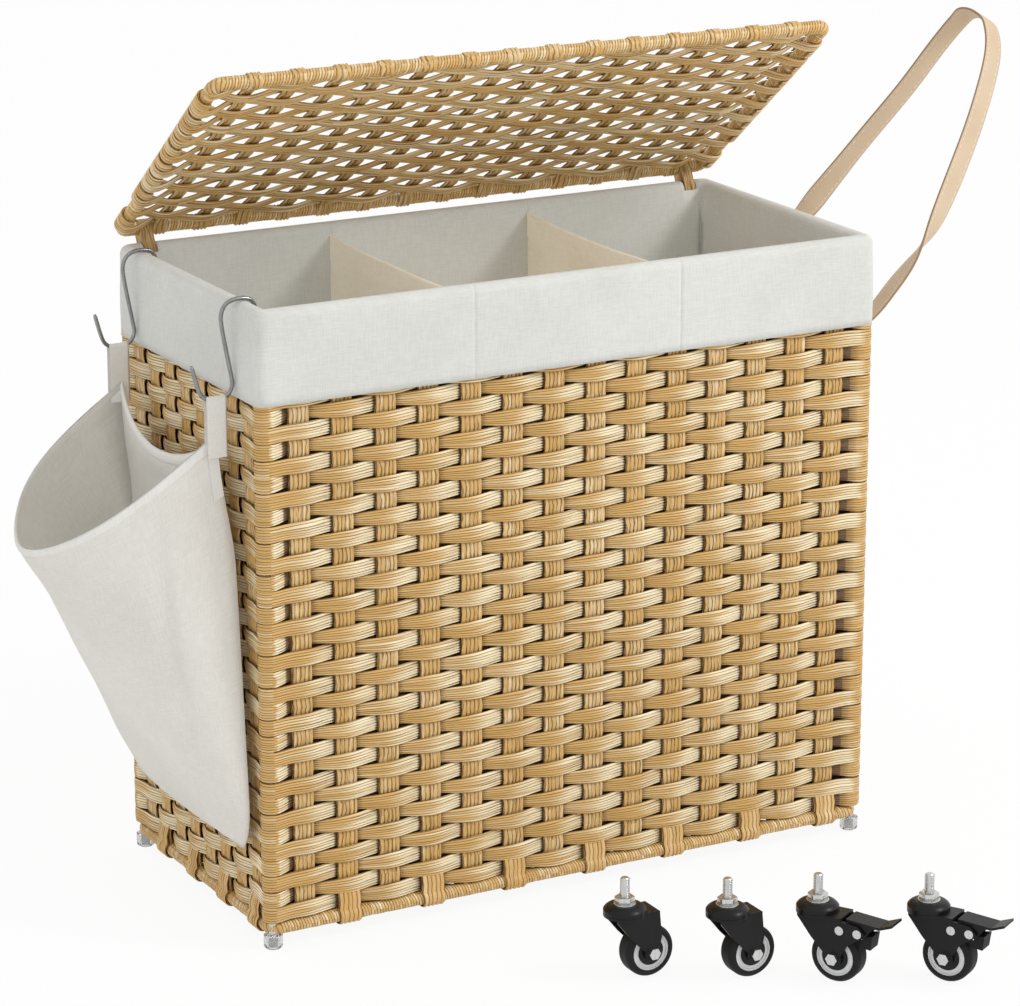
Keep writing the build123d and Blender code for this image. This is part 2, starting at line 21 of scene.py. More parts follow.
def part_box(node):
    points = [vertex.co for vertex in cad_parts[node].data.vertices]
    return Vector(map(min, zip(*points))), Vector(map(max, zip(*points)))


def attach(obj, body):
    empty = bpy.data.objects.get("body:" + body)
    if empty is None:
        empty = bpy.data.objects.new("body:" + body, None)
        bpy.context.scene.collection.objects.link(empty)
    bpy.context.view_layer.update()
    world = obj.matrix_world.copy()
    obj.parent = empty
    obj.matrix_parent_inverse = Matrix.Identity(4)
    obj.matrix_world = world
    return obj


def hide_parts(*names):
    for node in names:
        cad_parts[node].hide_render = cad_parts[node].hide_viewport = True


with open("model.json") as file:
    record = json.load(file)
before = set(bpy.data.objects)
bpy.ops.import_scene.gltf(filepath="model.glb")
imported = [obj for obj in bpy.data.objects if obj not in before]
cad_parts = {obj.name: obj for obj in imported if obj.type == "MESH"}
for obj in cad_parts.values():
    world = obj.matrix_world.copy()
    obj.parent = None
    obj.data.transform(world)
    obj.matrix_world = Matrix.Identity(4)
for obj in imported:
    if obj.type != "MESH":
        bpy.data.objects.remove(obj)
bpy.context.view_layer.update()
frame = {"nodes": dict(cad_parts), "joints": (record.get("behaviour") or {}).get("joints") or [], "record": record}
mm = 0.001
joints = {joint["name"]: joint for joint in frame["joints"]}

# %% [markdown]
# ## One way to make a band
# Most of this object is bands: split rush, strands, hems and straps. Each is a flat grid whose
# vertices are moved to where the band runs. The grid's own columns and rows are kept as a UV map
# first, so that a finish can follow the band. Where the grid closes on itself, the doubles merge.

# %% The helper for bands
def add_band(mesh, columns, rows, place, chart=lambda u, v: (u, v)):
    """Adds a grid and moves its point (u, v), from 0 to 1 each way, to place(u, v)."""
    made = bmesh.ops.create_grid(mesh, x_segments=columns, y_segments=rows, size=0.5)
    chart_layer = mesh.loops.layers.uv.verify()
    for vert in made["verts"]:
        u, v = vert.co.x + 0.5, vert.co.y + 0.5
        for loop in vert.link_loops:
            loop[chart_layer].uv = chart(u, v)
        vert.co = place(u, v)


def make_piece(mesh, name, body, finish, stands_for=(), merge=1e-6):
    """Turns a finished bmesh into a piece that rides on a body."""
    bmesh.ops.remove_doubles(mesh, verts=mesh.verts, dist=merge)
    bmesh.ops.recalc_face_normals(mesh, faces=mesh.faces)
    data = bpy.data.meshes.new(name)
    mesh.to_mesh(data)
    mesh.free()
    data.shade_smooth()
    data.materials.append(finish)
    piece = bpy.data.objects.new(name, data)
    bpy.context.scene.collection.objects.link(piece)
    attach(piece, body)
    if stands_for:
        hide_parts(*stands_for)
    print(name, len(data.polygons), "faces")
    return piece


def thicken(piece, thick):
    """Gives a sheet of cloth its thickness, half to each side."""
    wall = piece.modifiers.new("cloth", "SOLIDIFY")
    wall.thickness, wall.offset = thick, 0.0


def ease(x):
    x = min(max(x, 0.0), 1.0)
    return x * x * (3 - 2 * x)


def mix(a, b, t):
    return a + (b - a) * t


def evenly(count, pitch):
    """Places at one pitch, either side of 0."""
    return [(n - (count - 1) / 2) * pitch for n in range(count)]


def arc(radius, degrees, height=0.0, side=1):
    """Points of a circle about (0, height). With side -1 it is mirrored."""
    angles = [math.radians(d) for d in degrees]
    return [(side * radius * math.cos(a), height + radius * math.sin(a)) for a in angles]


# %% [markdown]
# A lath is a band of ribs with a thickness. Its route is a list of points in two directions, and
# its width lies along the third, so `put` only has to say which directions those are. Bands of one
# piece are numbered across its chart, with a margin between them.

# %% The helper for laths
MARGIN = 0.02


def strip(number, v):
    return number + MARGIN + (1 - 2 * MARGIN) * v


def lath(mesh, route, width, ribs, thick, rib, put, number=0, pace=1.0, back_ribs=False):
    """A ribbed band along route. put(a, b, across) gives the point in space."""
    front = 2 * ribs
    back = front if back_ribs else 2
    last = len(route) - 1

    def place(u, v):
        n = round(u * last)
        ahead, behind = route[min(n + 1, last)], route[max(n - 1, 0)]
        run = Vector((ahead[0] - behind[0], ahead[1] - behind[1])).normalized()
        step = round(v * (front + back))
        if step <= front:
            a = step / front
            lift = thick / 2 + (rib if step % 2 else -rib)
        else:
            a = 1 - (step - front) / back
            lift = -thick / 2 + (0.0 if not back_ribs else -rib if step % 2 else rib)
        across = (a - 0.5) * width
        return put(route[n][0] - run.y * lift, route[n][1] + run.x * lift, across)

    add_band(mesh, last, front + back, place, lambda u, v: (u * pace, strip(number, v)))


# %% [markdown]
# ## Finishes as sums
# A finish is easier to read as a formula than as a tangle of nodes. `Value` wraps a socket, so
# that adding or multiplying two of them adds the Math node that does it. `Finish` holds one
# material, and its `node` method makes every other kind of node.

# %% The helpers for finishes
class Value:
    """A number socket that can be used in a sum."""

    def __init__(self, finish, socket):
        self.finish, self.socket = finish, socket

    def _sum(self, operation, *terms):
        sockets = dict(enumerate(terms))
        return self.finish.node("ShaderNodeMath", {"operation": operation}, sockets)

    def __add__(self, other):
        return self._sum("ADD", self, other)

    __radd__ = __add__

    def __sub__(self, other):
        return self._sum("SUBTRACT", self, other)

    def __rsub__(self, other):
        return self._sum("SUBTRACT", other, self)

    def __mul__(self, other):
        return self._sum("MULTIPLY", self, other)

    __rmul__ = __mul__

    def __truediv__(self, other):
        return self._sum("DIVIDE", self, other)

    def __pow__(self, other):
        return self._sum("POWER", self, other)

    def whole(self):
        return self._sum("FLOOR", self)

    def part(self):
        return self._sum("FRACT", self)

    def size(self):
        return self._sum("ABSOLUTE", self)

    def least(self, other):
        return self._sum("MINIMUM", self, other)

    def above(self, other):
        return self._sum("GREATER_THAN", self, other)

    def ramp(self, low, high):
        """0 at low, 1 at high, eased between."""
        return self.finish.node(
            "ShaderNodeMapRange", {"interpolation_type": "SMOOTHSTEP"},
            {"Value": self, "From Min": low, "From Max": high},
        )


class Finish:
    """One material, with its nodes."""

    def __init__(self, name, **sockets):
        self.material = bpy.data.materials.new(name)
        self.material.use_nodes = True
        self.tree = self.material.node_tree
        self.shader = self.tree.nodes["Principled BSDF"]
        self.set(**sockets)

    def node(self, kind, settings=None, sockets=None, output=0):
        made = self.tree.nodes.new(kind)
        for name, value in (settings or {}).items():
            setattr(made, name, value)
        for name, value in (sockets or {}).items():
            self.feed(made.inputs[name], value)
        return Value(self, made.outputs[output])

    def feed(self, socket, value):
        if isinstance(value, Value):
            self.tree.links.new(value.socket, socket)
        else:
            socket.default_value = value

    def set(self, **sockets):
        for name, value in sockets.items():
            self.feed(self.shader.inputs[name.replace("_", " ")], value)
        return self.material

    def split(self, vector):
        return [self.node("ShaderNodeSeparateXYZ", None, {0: vector}, n) for n in range(3)]

    def place(self):
        return self.node("ShaderNodeTexCoord", None, None, "Object")

    def chart(self):
        return self.split(self.node("ShaderNodeTexCoord", None, None, "UV"))[:2]

    def vector(self, x, y, z):
        return self.node("ShaderNodeCombineXYZ", None, {0: x, 1: y, 2: z})

    def noise(self, vector, scale=1.0, detail=2.0):
        return self.node(
            "ShaderNodeTexNoise", None, {"Vector": vector, "Scale": scale, "Detail": detail}
        )

    def chance(self, vector):
        return self.node("ShaderNodeTexWhiteNoise", None, {"Vector": vector})

    def blend(self, factor, a, b):
        return self.node("ShaderNodeMix", {"data_type": "RGBA"}, {0: factor, 6: a, 7: b}, 2)

    def bump(self, height, distance, strength=1.0):
        return self.node(
            "ShaderNodeBump", None, {"Height": height, "Distance": distance, "Strength": strength}
        )


def tone(red, green, blue):
    """A colour from its 0 to 255 screen values."""
    steps = (channel / 255 for channel in (red, green, blue))
    return (*(s / 12.92 if s <= 0.04045 else ((s + 0.055) / 1.055) ** 2.4 for s in steps), 1.0)


# %% [markdown]
# ## Split rush
# Rush is glossy. A span is painted paler toward the end that turns to the lamp, a painted highlight, and
# browner where it comes out from and dives behind a stake, painted shade; its grooves carry painted shade too.
# Each band carries fine fibres along its length. The band's chart counts its spans along and its
# rows across, so the finish knows where on a span it is, and gives each span a shade of its own.

# %% Rush finishes
RUSH_GOLD = tone(214, 170, 98)
RUSH_CREAM = tone(252, 235, 196)
RUSH_BROWN = tone(104, 64, 24)
OVER = 0.75  # share of a span that shows in front


def rush(name, strands, cream, vary=0.5, spans=False, wound=False):
    """A rush finish: the strands across a band, how pale they are and how much they vary."""
    finish = Finish(name)
    u, v = finish.chart()
    row, across = v.whole(), v.part()
    show = (u.part() * (1 / OVER)).least(1.0)
    own = finish.chance(finish.vector(u.whole(), row, 3.0))
    wander = finish.noise(finish.vector(u * 2.2 + own * 9.0, across * 4.0, row * 7.31), 1.0, 1.0)
    strand = u
    if not wound:
        strand = (across - MARGIN) * (strands / (1 - 2 * MARGIN)) + (wander - 0.5) * 0.9
    each = finish.chance(finish.vector(strand.whole(), row, u.whole() if spans else 1.0))
    grain = finish.vector(u * 1.6 + own * 7.0, across * strands * 3.4, row * 5.3)
    fibre = finish.noise(grain, 1.0, 2.0)
    groove = (strand.part() - 0.5).size().ramp(0.33, 0.5)
    pale = (fibre - 0.5) * 1.5 + (each - 0.5) * vary + (own - 0.5) * 0.3 + cream
    # Painted highlight: each span turns paler toward the end that faces the lamp.
    if spans:
        pale = pale + show.ramp(0.3, 0.85) * 0.75 - 0.3
    colour = finish.blend(pale.ramp(0.0, 1.0), RUSH_GOLD, RUSH_CREAM)
    # The grooves between strands, and between a wound band's turns, are painted dark: painted shade. The dark
    # fibres are the rush's own.
    dark = groove * 0.62 + fibre.ramp(0.42, 0.26) * 0.4
    # Painted shade: a span darkens to brown where it comes out from behind a stake and where it dives behind the
    # next.
    if spans:
        dark = dark + show.ramp(0.95, 1.0) * 0.9 + show.ramp(0.10, 0.0) * 0.4
    return finish.set(
        Base_Color=finish.blend(dark.least(0.9), colour, RUSH_BROWN),
        Roughness=0.44 + (0.5 - fibre) * 0.3,
        Normal=finish.bump(fibre * 0.6 - groove, 0.7 * mm),
    )


rush_row = rush("rush_row", 7.0, 0.38, spans=True)
rush_stake = rush("rush_stake", 6.0, 0.2, vary=0.3)
rush_lid = rush("rush_lid", 6.0, 0.32)
rush_wrap = rush("rush_wrap", 1.0, 0.22, wound=True)
print("rush finishes", [m.name for m in (rush_row, rush_stake, rush_lid, rush_wrap)])

# %% [markdown]
# ## Where the weave runs
# A row of weaving goes right round the basket: past every stake of four walls, and outside the
# four posts. So it is drawn along one rounded rectangle. `ring` walks it, and can step outwards
# from it, which is how a row passes in front of one stake and behind the next.

# %% A walk round the basket
rail_low, rail_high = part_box("bottom_rail")
rail_r = (rail_high.z - rail_low.z) / 2
rail_z = (rail_high.z + rail_low.z) / 2
half_w, half_d = rail_high.x - rail_r, rail_high.y - rail_r
post_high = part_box("corner_posts")[1]
post_r = 7.5 * mm  # of a corner post
bend = half_w - (post_high.x - post_r)
TURN = 13.5 * mm  # of a row, round a post


def ring(s, out, half_x, half_y, bend, turn):
    """The point s along a rounded rectangle, out from it, and the way out there."""
    sides = [2 * (half_x - bend), 2 * (half_y - bend)] * 2
    s %= sum(sides) + 4 * turn
    for k, side in enumerate(sides):
        along = Vector((round(math.cos(k * math.pi / 2)), round(math.sin(k * math.pi / 2))))
        away = Vector((along.y, -along.x))
        reach = half_y if k % 2 == 0 else half_x
        if s < side:
            return away * (reach + out) + along * (s - side / 2), away
        s -= side
        if s < turn:
            angle = s / turn * math.pi / 2
            facing = away * math.cos(angle) + along * math.sin(angle)
            return away * (reach - bend) + along * side / 2 + facing * (bend + out), facing
        s -= turn
    return away * (reach + out) - along * side / 2, away


long_side, short_side = 2 * (half_w - bend), 2 * (half_d - bend)
once_round = 2 * (long_side + short_side + 2 * TURN)
CORNER_SHARE = 0.55  # of a stake's pitch, left for the posts
FRONT_STAKES, END_STAKES = 14, 8
FRONT_PITCH = 2 * half_w / (FRONT_STAKES + CORNER_SHARE)
END_PITCH = 2 * half_d / (END_STAKES + CORNER_SHARE)
stakes, corners = [], []
start = 0.0
walls = ((long_side, FRONT_STAKES, FRONT_PITCH), (short_side, END_STAKES, END_PITCH)) * 2
for side, count, pitch in walls:
    stakes += [start + side / 2 + x for x in evenly(count, pitch)]
    corners.append(start + side + TURN / 2)
    start += side + TURN
print("stakes", len(stakes), "once round", round(once_round, 3))


def spans(s):
    """How many half spans of weaving lie before s."""
    knots = [stakes[-1] - once_round] + stakes + [stakes[0] + once_round]
    n = bisect_right(knots, s) - 1
    return n - 1 + (s - knots[n]) / (knots[n + 1] - knots[n])


def at_corner(s, fade):
    """1 beside a post, down to 0 over the length fade."""
    gap = min(abs((s - c + once_round / 2) % once_round - once_round / 2) for c in corners)
    return 1 - ease((gap - TURN / 2) / fade)


# %% [markdown]
# ## Rows of the walls
# Each row is one band that closes on itself. It swings out over a stake and in behind the next,
# and the row above does the opposite. A span starts narrow, where it comes out from behind a
# stake, and fans out to ragged ribs before it dives again. Rows that pass the same stakes make
# one piece, so there are two.

# %% Weave the walls
PANEL_ROWS, ROWS = 37, 33  # of the whole wall, and those that show below the cuff
panel_low, panel_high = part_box("front_panel")
ROW_PITCH = (panel_high.z - panel_low.z) / PANEL_ROWS
ROW_WIDTH, ROW_THICK = 15.4 * mm, 1.6 * mm
ROW_CROWN = 1.3 * mm  # of the row's middle over its edges
NARROW, WIDE = 0.78, 1.04  # a span's ends and its fan, of the row's width
SWING = 4.3 * mm
CORNER_OUT = post_r - bend + 1.1 * mm
CORNER_FADE, POST_FADE = 24 * mm, 5 * mm
BY_POST, AT_POST = 0.62, 0.2  # as far along its span a row looks to be, beside a post and on it
ROW_COLUMNS, ROW_FRONT, ROW_BACK = 360, 12, 2
first_row = panel_low.z + ROW_PITCH / 2
dice = random.Random(7)


def wall_row(mesh, row):
    z_row = first_row + row * ROW_PITCH + dice.uniform(-0.5, 0.5) * mm
    wobble = dice.uniform(0, 50)

    def phase(u):
        return 0.5 * (spans(u * once_round) + row) + OVER / 2

    def place(u, v):
        s = u * once_round
        turn_in = phase(u)
        show = min(turn_in % 1 / OVER, 1.0)
        hidden = max(turn_in % 1 - OVER, 0.0) / (1 - OVER)
        fan = ease(show / 0.55) - hidden
        corner = at_corner(s, CORNER_FADE)
        out = mix(SWING * math.cos(2 * math.pi * (turn_in - OVER / 2)), CORNER_OUT, corner)
        width = ROW_WIDTH * mix(mix(NARROW, WIDE, fan), 1.0, corner)
        rib = mix(0.3 + 0.6 * ease((show - 0.5) * 2) * (1 - hidden), 0.15, corner) * mm
        step = round(v * (ROW_FRONT + ROW_BACK))
        if step <= ROW_FRONT:
            a = step / ROW_FRONT
            lift = ROW_THICK / 2 + ROW_CROWN * (1 - (2 * a - 1) ** 2) * (1 - 0.6 * corner)
            lift += rib if step % 2 else -rib
        else:
            a = 1 - (step - ROW_FRONT) / ROW_BACK
            lift = -ROW_THICK / 2
        drift = noise.noise((s * 22, wobble, 0.0)) * 0.8 * mm
        point, _ = ring(s, out + lift, half_w, half_d, bend, TURN)
        return (point.x, point.y, z_row + drift + (0.5 - a) * width)

    def chart(u, v):
        turn, part = divmod(phase(u) + 40, 1)
        part = mix(part, min(part, BY_POST), at_corner(u * once_round, CORNER_FADE))
        part = mix(part, AT_POST, at_corner(u * once_round, POST_FADE))
        return turn + part, strip(row, v)

    add_band(mesh, ROW_COLUMNS, ROW_FRONT + ROW_BACK, place, chart)


for parity, name, panels in (
    (0, "wall_rows_even", ("front_panel", "back_panel")),
    (1, "wall_rows_odd", ("left_panel", "right_panel")),
):
    mesh = bmesh.new()
    for row in range(parity, ROWS, 2):
        wall_row(mesh, row)
    make_piece(mesh, name, "basket", rush_row, panels, 2e-5)

# %% [markdown]
# ## Stakes
# A stake is a flat bundle of strands that stands in the wall, with the rows swinging round it. It
# gives way a little: in where a row passes outside, out where one passes inside. A band with deep
# ribs reads as a bundle, because only a row's height of it shows at a time.

# %% Stand the stakes
STAKE_WIDTH, STAKE_THICK, STRANDS = 21 * mm, 3.0 * mm, 5
STAKE_GIVE, STAKE_RIB = 1.3 * mm, 0.9 * mm
STAKE_TOP = first_row + ROWS * ROW_PITCH - 4 * mm
stake_low = rail_z + 2 * mm


def stand_stake(mesh, number, s):
    front = 2 * STRANDS
    lean = dice.uniform(-1.0, 1.0) * mm
    spread = [dice.uniform(-0.6, 0.6) * mm for _ in range(front + 1)]

    def place(u, v):
        z = mix(stake_low, STAKE_TOP, u)
        row = (z - first_row) / ROW_PITCH
        give = -STAKE_GIVE * math.cos(math.pi * (number + row))
        step = round(v * (front + 2))
        if step <= front:
            a = step / front
            lift = STAKE_THICK / 2 + (STAKE_RIB if step % 2 else -STAKE_RIB)
            shift = spread[step] * math.sin(3.0 * u + step)
        else:
            a, shift = 1 - (step - front) / 2, 0.0
            lift = -STAKE_THICK / 2
        across = (a - 0.5) * STAKE_WIDTH + shift + lean * (u - 0.5)
        point, _ = ring(s + across, give + lift, half_w, half_d, bend, TURN)
        return (point.x, point.y, z)

    def chart(u, v):
        return u * ROWS / 2, strip(number, v)

    add_band(mesh, 2 * ROWS, front + 2, place, chart)


mesh = bmesh.new()
for number, s in enumerate(stakes):
    stand_stake(mesh, number, s)
make_piece(mesh, "wall_stakes", "basket", rush_stake, ("uprights",), 2e-5)

# %% [markdown]
# Between the weave and the liner lies a dark brown sheet of painted shade, so that the small gaps
# beside the stakes look dark. It only shows through them, so four flat sheets between the posts are enough.

# %% Put painted shade behind the weave
SHADE_SHEET_OUT, SHADE_SHEET_THICK = -6.3 * mm, 0.6 * mm
SHADE_SHEET_TRIM = post_r + 0.5 * mm
# Painted shade: a brown cloth-like sheet that shows only through the gaps of the weave.
shade_sheet_brown = Finish("shade_sheet_brown", Roughness=0.95)
thread = shade_sheet_brown.noise(shade_sheet_brown.place(), 900.0, 2.0)
shade_sheet_brown.set(
    Base_Color=shade_sheet_brown.blend(thread, tone(70, 46, 22), tone(104, 72, 38)),
    Normal=shade_sheet_brown.bump(thread, 0.3 * mm),
)
mesh = bmesh.new()
start = shade_sheet_long = 0.0
for side, _, _ in walls:

    def on_shade_sheet(u, v, low=start + SHADE_SHEET_TRIM, high=start + side - SHADE_SHEET_TRIM):
        point, _ = ring(mix(low, high, u), SHADE_SHEET_OUT, half_w, half_d, bend, TURN)
        return (point.x, point.y, mix(panel_low.z, panel_high.z, v))

    add_band(mesh, 12, 10, on_shade_sheet)
    shade_sheet_long += side - 2 * SHADE_SHEET_TRIM
    start += side + TURN
shade_sheet = make_piece(mesh, "wall_shade_sheet", "basket", shade_sheet_brown.material)
thicken(shade_sheet, SHADE_SHEET_THICK)

# %% [markdown]
# ## Wrapped rails
# The rails are rods wound with strands, turn against turn. A tube shows that if its radius rises
# and falls once a turn, and if the turn also counts on as it goes round: then the ridges climb.

# %% Wind the bottom rail
WRAP_PITCH, WRAP_R, WRAP_SIDES = 3.0 * mm, rail_r - 1.0 * mm, 15
RIDGE, SWELL = 0.9 * mm, 0.4 * mm
STARTS = 3  # strands wound side by side


def wound_tube(mesh, length, place):
    """A tube along length, ridged every turn. place(s, out, side) bends it to its route."""
    turns = round(length / WRAP_PITCH)
    swell = [noise.noise((n * 0.37, 4.0, length)) for n in range(turns + 1)]

    def put(u, v):
        turn = u * turns + STARTS * v
        ridge = RIDGE * abs(math.sin(math.pi * turn)) + SWELL * swell[int(u * turns)]
        angle = 2 * math.pi * v
        r = WRAP_R + ridge
        return place(u * length, r * math.cos(angle), r * math.sin(angle))

    add_band(mesh, turns * 3, WRAP_SIDES, put, lambda u, v: (u * turns + STARTS * v, v))


RAIL_BEND, RAIL_TURN = 8 * mm, 12.6 * mm
rail_round = 4 * (half_w + half_d - 2 * RAIL_BEND) + 4 * RAIL_TURN


def on_rail(s, out, up):
    point, _ = ring(s, out, half_w, half_d, RAIL_BEND, RAIL_TURN)
    return (point.x, point.y, rail_z + up)


mesh = bmesh.new()
wound_tube(mesh, rail_round, on_rail)
make_piece(mesh, "bottom_wrap", "basket", rush_wrap, ("bottom_rail",), 2e-5)

# %% [markdown]
# Every second stake comes out under the last row, lies over the bottom rail and turns in under it.

# %% Fold stakes over the bottom rail
FOLD_R = rail_r + 1.2 * mm
fold_route = [(2.5 * mm, rail_z + 27 * mm), (6.0 * mm, rail_z + 15 * mm)]
fold_route += arc(FOLD_R, range(52, -147, -22), rail_z)

mesh = bmesh.new()
for number, s in enumerate(stakes):
    if number % 2 == 0:
        continue

    def put(out, z, across, s=s):
        point, _ = ring(s + across, out, half_w, half_d, bend, TURN)
        return (point.x, point.y, z)

    lath(mesh, fold_route, 1.08 * STAKE_WIDTH, STRANDS, 2.0 * mm, 0.55 * mm, put, number)
make_piece(mesh, "rail_folds", "basket", rush_stake, (), 2e-5)

# %% [markdown]
# ## The lid
# The lid is woven the same way, but its bands are narrow and the light comes through between
# them. Its rows wrap round the side rails, and its stakes round the hinge rail and the front rail.
# Both are laths. A row that weaves is a wave through a list of knots, over one and under the next.

# %% Routes that weave
def wave(knots, step):
    """Points along knots (a, b), with b eased from each to the next."""
    route = []
    for (a0, b0), (a1, b1) in zip(knots, knots[1:]):
        count = max(round((a1 - a0) / step), 2)
        for n in range(count):
            t = n / count
            route.append((mix(a0, a1, t), mix(b0, b1, (1 - math.cos(math.pi * t)) / 2)))
    return route + [knots[-1]]


def wrapped_ends(route, low, high, radius, side_low, side_high):
    """The route with its ends carried on round two rods, at low and at high."""
    turn = arc(radius, range(15, 200, 15))
    turn_low = [(low - along, side_low * up) for up, along in turn]
    turn_high = [(high + along, side_high * up) for up, along in turn]
    return turn_low[::-1] + route + turn_high


# %% Weave the lid
hinge = Vector(joints["lid_hinge"]["pos_m"])
lid_open = math.radians(-joints["lid_hinge"]["range_deg"][0])
lid_out = Vector((0, -math.cos(lid_open), math.sin(lid_open)))
lid_up = Vector((0, math.sin(lid_open), math.cos(lid_open)))
lid_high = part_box("lid_frame")[1]
lid_half = lid_high.x - rail_r
lid_reach = (lid_high.z - rail_r - hinge.z) / math.sin(lid_open)


def on_lid(x, reach, up):
    return hinge + Vector((x, 0, 0)) + lid_out * reach + lid_up * up


LID_ROWS, LID_ROW_WIDTH, LID_SWING = 19, 12.6 * mm, 3.4 * mm
LID_WRAP_R = rail_r + 1.3 * mm
LID_TURN_R = rail_r - 0.4 * mm
LID_HOOK_R = rail_r - 1.6 * mm  # of the rows that close down on a hook
LID_SPREAD = 0.995  # the stakes stand this much closer than the front wall's, inside the ties
LID_FIRST = 13.5 * mm  # from the hinge to the first row
LID_STAKE_WIDTH, LID_STAKE_SWING = 15 * mm, 1.1 * mm
HOOK_Y, HOOK_ROOM = 112 * mm, 5 * mm
lid_step = (lid_reach - 2 * LID_FIRST) / (LID_ROWS - 1)
lid_stakes = evenly(FRONT_STAKES, FRONT_PITCH * LID_SPREAD)

mesh = bmesh.new()
for row in range(LID_ROWS):
    reach = LID_FIRST + row * lid_step + dice.uniform(-0.8, 0.8) * mm
    sides = [1 if (n + row) % 2 == 0 else -1 for n in range(-1, FRONT_STAKES + 1)]
    by_hook = abs(abs(hinge.y - reach) - HOOK_Y) < LID_ROW_WIDTH / 2 + HOOK_ROOM
    turn_r = LID_HOOK_R if by_hook else LID_WRAP_R
    knots = [(-lid_half, sides[0] * turn_r)]
    knots += [(x, side * LID_SWING) for x, side in zip(lid_stakes, sides[1:-1])]
    knots += [(lid_half, sides[-1] * turn_r)]
    route = wave(knots, 5.5 * mm)
    route = wrapped_ends(route, -lid_half, lid_half, turn_r, sides[0], sides[-1])
    wobble = dice.uniform(0, 50)

    def put(x, up, across, reach=reach, wobble=wobble):
        drift = noise.noise((x * 16, wobble, 1.0)) * 1.6 * mm
        return on_lid(x, reach + across + drift, up)

    lath(mesh, route, LID_ROW_WIDTH, 3, 2.0 * mm, 0.45 * mm, put, row, FRONT_STAKES / 2, True)
make_piece(mesh, "lid_rows", "lid", rush_lid, ("lid_panel",), 2e-5)

mesh = bmesh.new()
for number, x in enumerate(lid_stakes):
    knots = [(0.0, -LID_TURN_R)]
    for row in range(LID_ROWS):
        side = 1 if (number + row) % 2 else -1
        knots.append((LID_FIRST + row * lid_step, side * LID_STAKE_SWING))
    knots.append((lid_reach, -LID_TURN_R))
    route = wrapped_ends(wave(knots, 7 * mm), 0.0, lid_reach, LID_TURN_R, -1, -1)
    lath(
        mesh, route, LID_STAKE_WIDTH, 4, 2.0 * mm, 0.7 * mm,
        lambda reach, up, across, x=x: on_lid(x + across, reach, up), number, 9.0, True,
    )
make_piece(mesh, "lid_stakes", "lid", rush_stake, (), 2e-5)

mesh = bmesh.new()
lid_round = 4 * (lid_half + lid_reach / 2 - 2 * RAIL_BEND) + 4 * RAIL_TURN


def on_lid_rail(s, out, up):
    point, _ = ring(s, out, lid_half, lid_reach / 2, RAIL_BEND, RAIL_TURN)
    return on_lid(point.x, lid_reach / 2 + point.y, up)


wound_tube(mesh, lid_round, on_lid_rail)
make_piece(mesh, "lid_wrap", "lid", rush_wrap, ("lid_frame",), 2e-5)

# %% [markdown]
# ## The base
# The base is woven like the walls. It only shows from below, through the space between the feet.

# %% Weave the base
BASE_ROWS, BASE_SWING = 18, 4 * mm
base_half = half_w - rail_r - 1 * mm
base_deep = half_d - rail_r - 1 * mm
base_step = 2 * base_deep / BASE_ROWS
base_stakes = evenly(FRONT_STAKES, FRONT_PITCH)

mesh = bmesh.new()
for row in range(BASE_ROWS):
    y = -base_deep + (row + 0.5) * base_step
    knots = [(-base_half, 0.0)]
    knots += [(x, BASE_SWING if (n + row) % 2 else -BASE_SWING) for n, x in enumerate(base_stakes)]
    knots += [(base_half, 0.0)]
    lath(
        mesh, wave(knots, 9 * mm), 14.5 * mm, 3, 1.8 * mm, 0.4 * mm,
        lambda x, up, across, y=y: (x, y + across, rail_z + up), row, FRONT_STAKES / 2, True,
    )
make_piece(mesh, "base_rows", "basket", rush_row, ("base_panel",), 2e-5)

mesh = bmesh.new()
for number, x in enumerate(base_stakes):
    knots = [(-base_deep, 0.0), (base_deep, 0.0)]
    lath(
        mesh, wave(knots, 30 * mm), 20 * mm, 4, 2.4 * mm, 0.5 * mm,
        lambda y, up, across, x=x: (x + across, y, rail_z + up), number, 8.0, True,
    )
make_piece(mesh, "base_stakes", "basket", rush_stake, ("base_bars",), 2e-5)

# %% [markdown]
# ## Linen
# The liner and the bag are a pale cotton and linen cloth. Its threads are uneven, so two stretched
# noises, one each way, shade it and raise it. The liner hangs straight, so there they read Object
# coordinates. The bag curves, so there they read its chart, stretched to the size of the cloth.

# %% Linen finishes
def linen(name, pale, deep, cloth=None, glow=0.0):
    """A cloth finish. cloth is the size of its chart, glow the strength of a painted glow: painted light in the
    cloth's own colour, standing in for light that comes through it.
    """
    finish = Finish(name, Roughness=0.95, Sheen_Weight=0.15, Sheen_Roughness=0.5)
    x, y, z = finish.split(finish.place())
    girth, side = x + y * 0.93, y
    if cloth:
        u, v = finish.chart()
        girth, z, side = u * cloth[0], v * cloth[1], 0.0 * u
    weft = finish.noise(finish.vector(girth * 90, z * 900, side * 40), 1.0, 2.0)
    warp = finish.noise(finish.vector(girth * 1000, z * 70, side * 30), 1.0, 2.0)
    cloud = finish.noise(finish.place(), 9.0, 2.0)
    thread = weft * 0.5 + warp * 0.5
    depth = (thread.ramp(0.62, 0.38) * 0.6 + cloud.ramp(0.65, 0.35) * 0.4).least(1.0)
    colour = finish.blend(depth, pale, deep)
    # Emission at glow is painted light: the cloth glows faintly in its own colour.
    return finish.set(
        Base_Color=colour, Emission_Color=colour, Emission_Strength=glow,
        Normal=finish.bump(thread, 0.5 * mm, 0.7),
    )


# Liner and dividers glow a little: painted light. The dividers are the liner's own cloth; their copy is warmer,
# paler and glows more, a painted tint of their shade and painted light.
liner_linen = linen("liner_linen", tone(210, 211, 206), tone(198, 198, 192), glow=0.085)
divider_linen = linen("divider_linen", tone(248, 240, 222), tone(236, 226, 206), glow=0.115)
print("linen finishes", liner_linen.name, divider_linen.name)

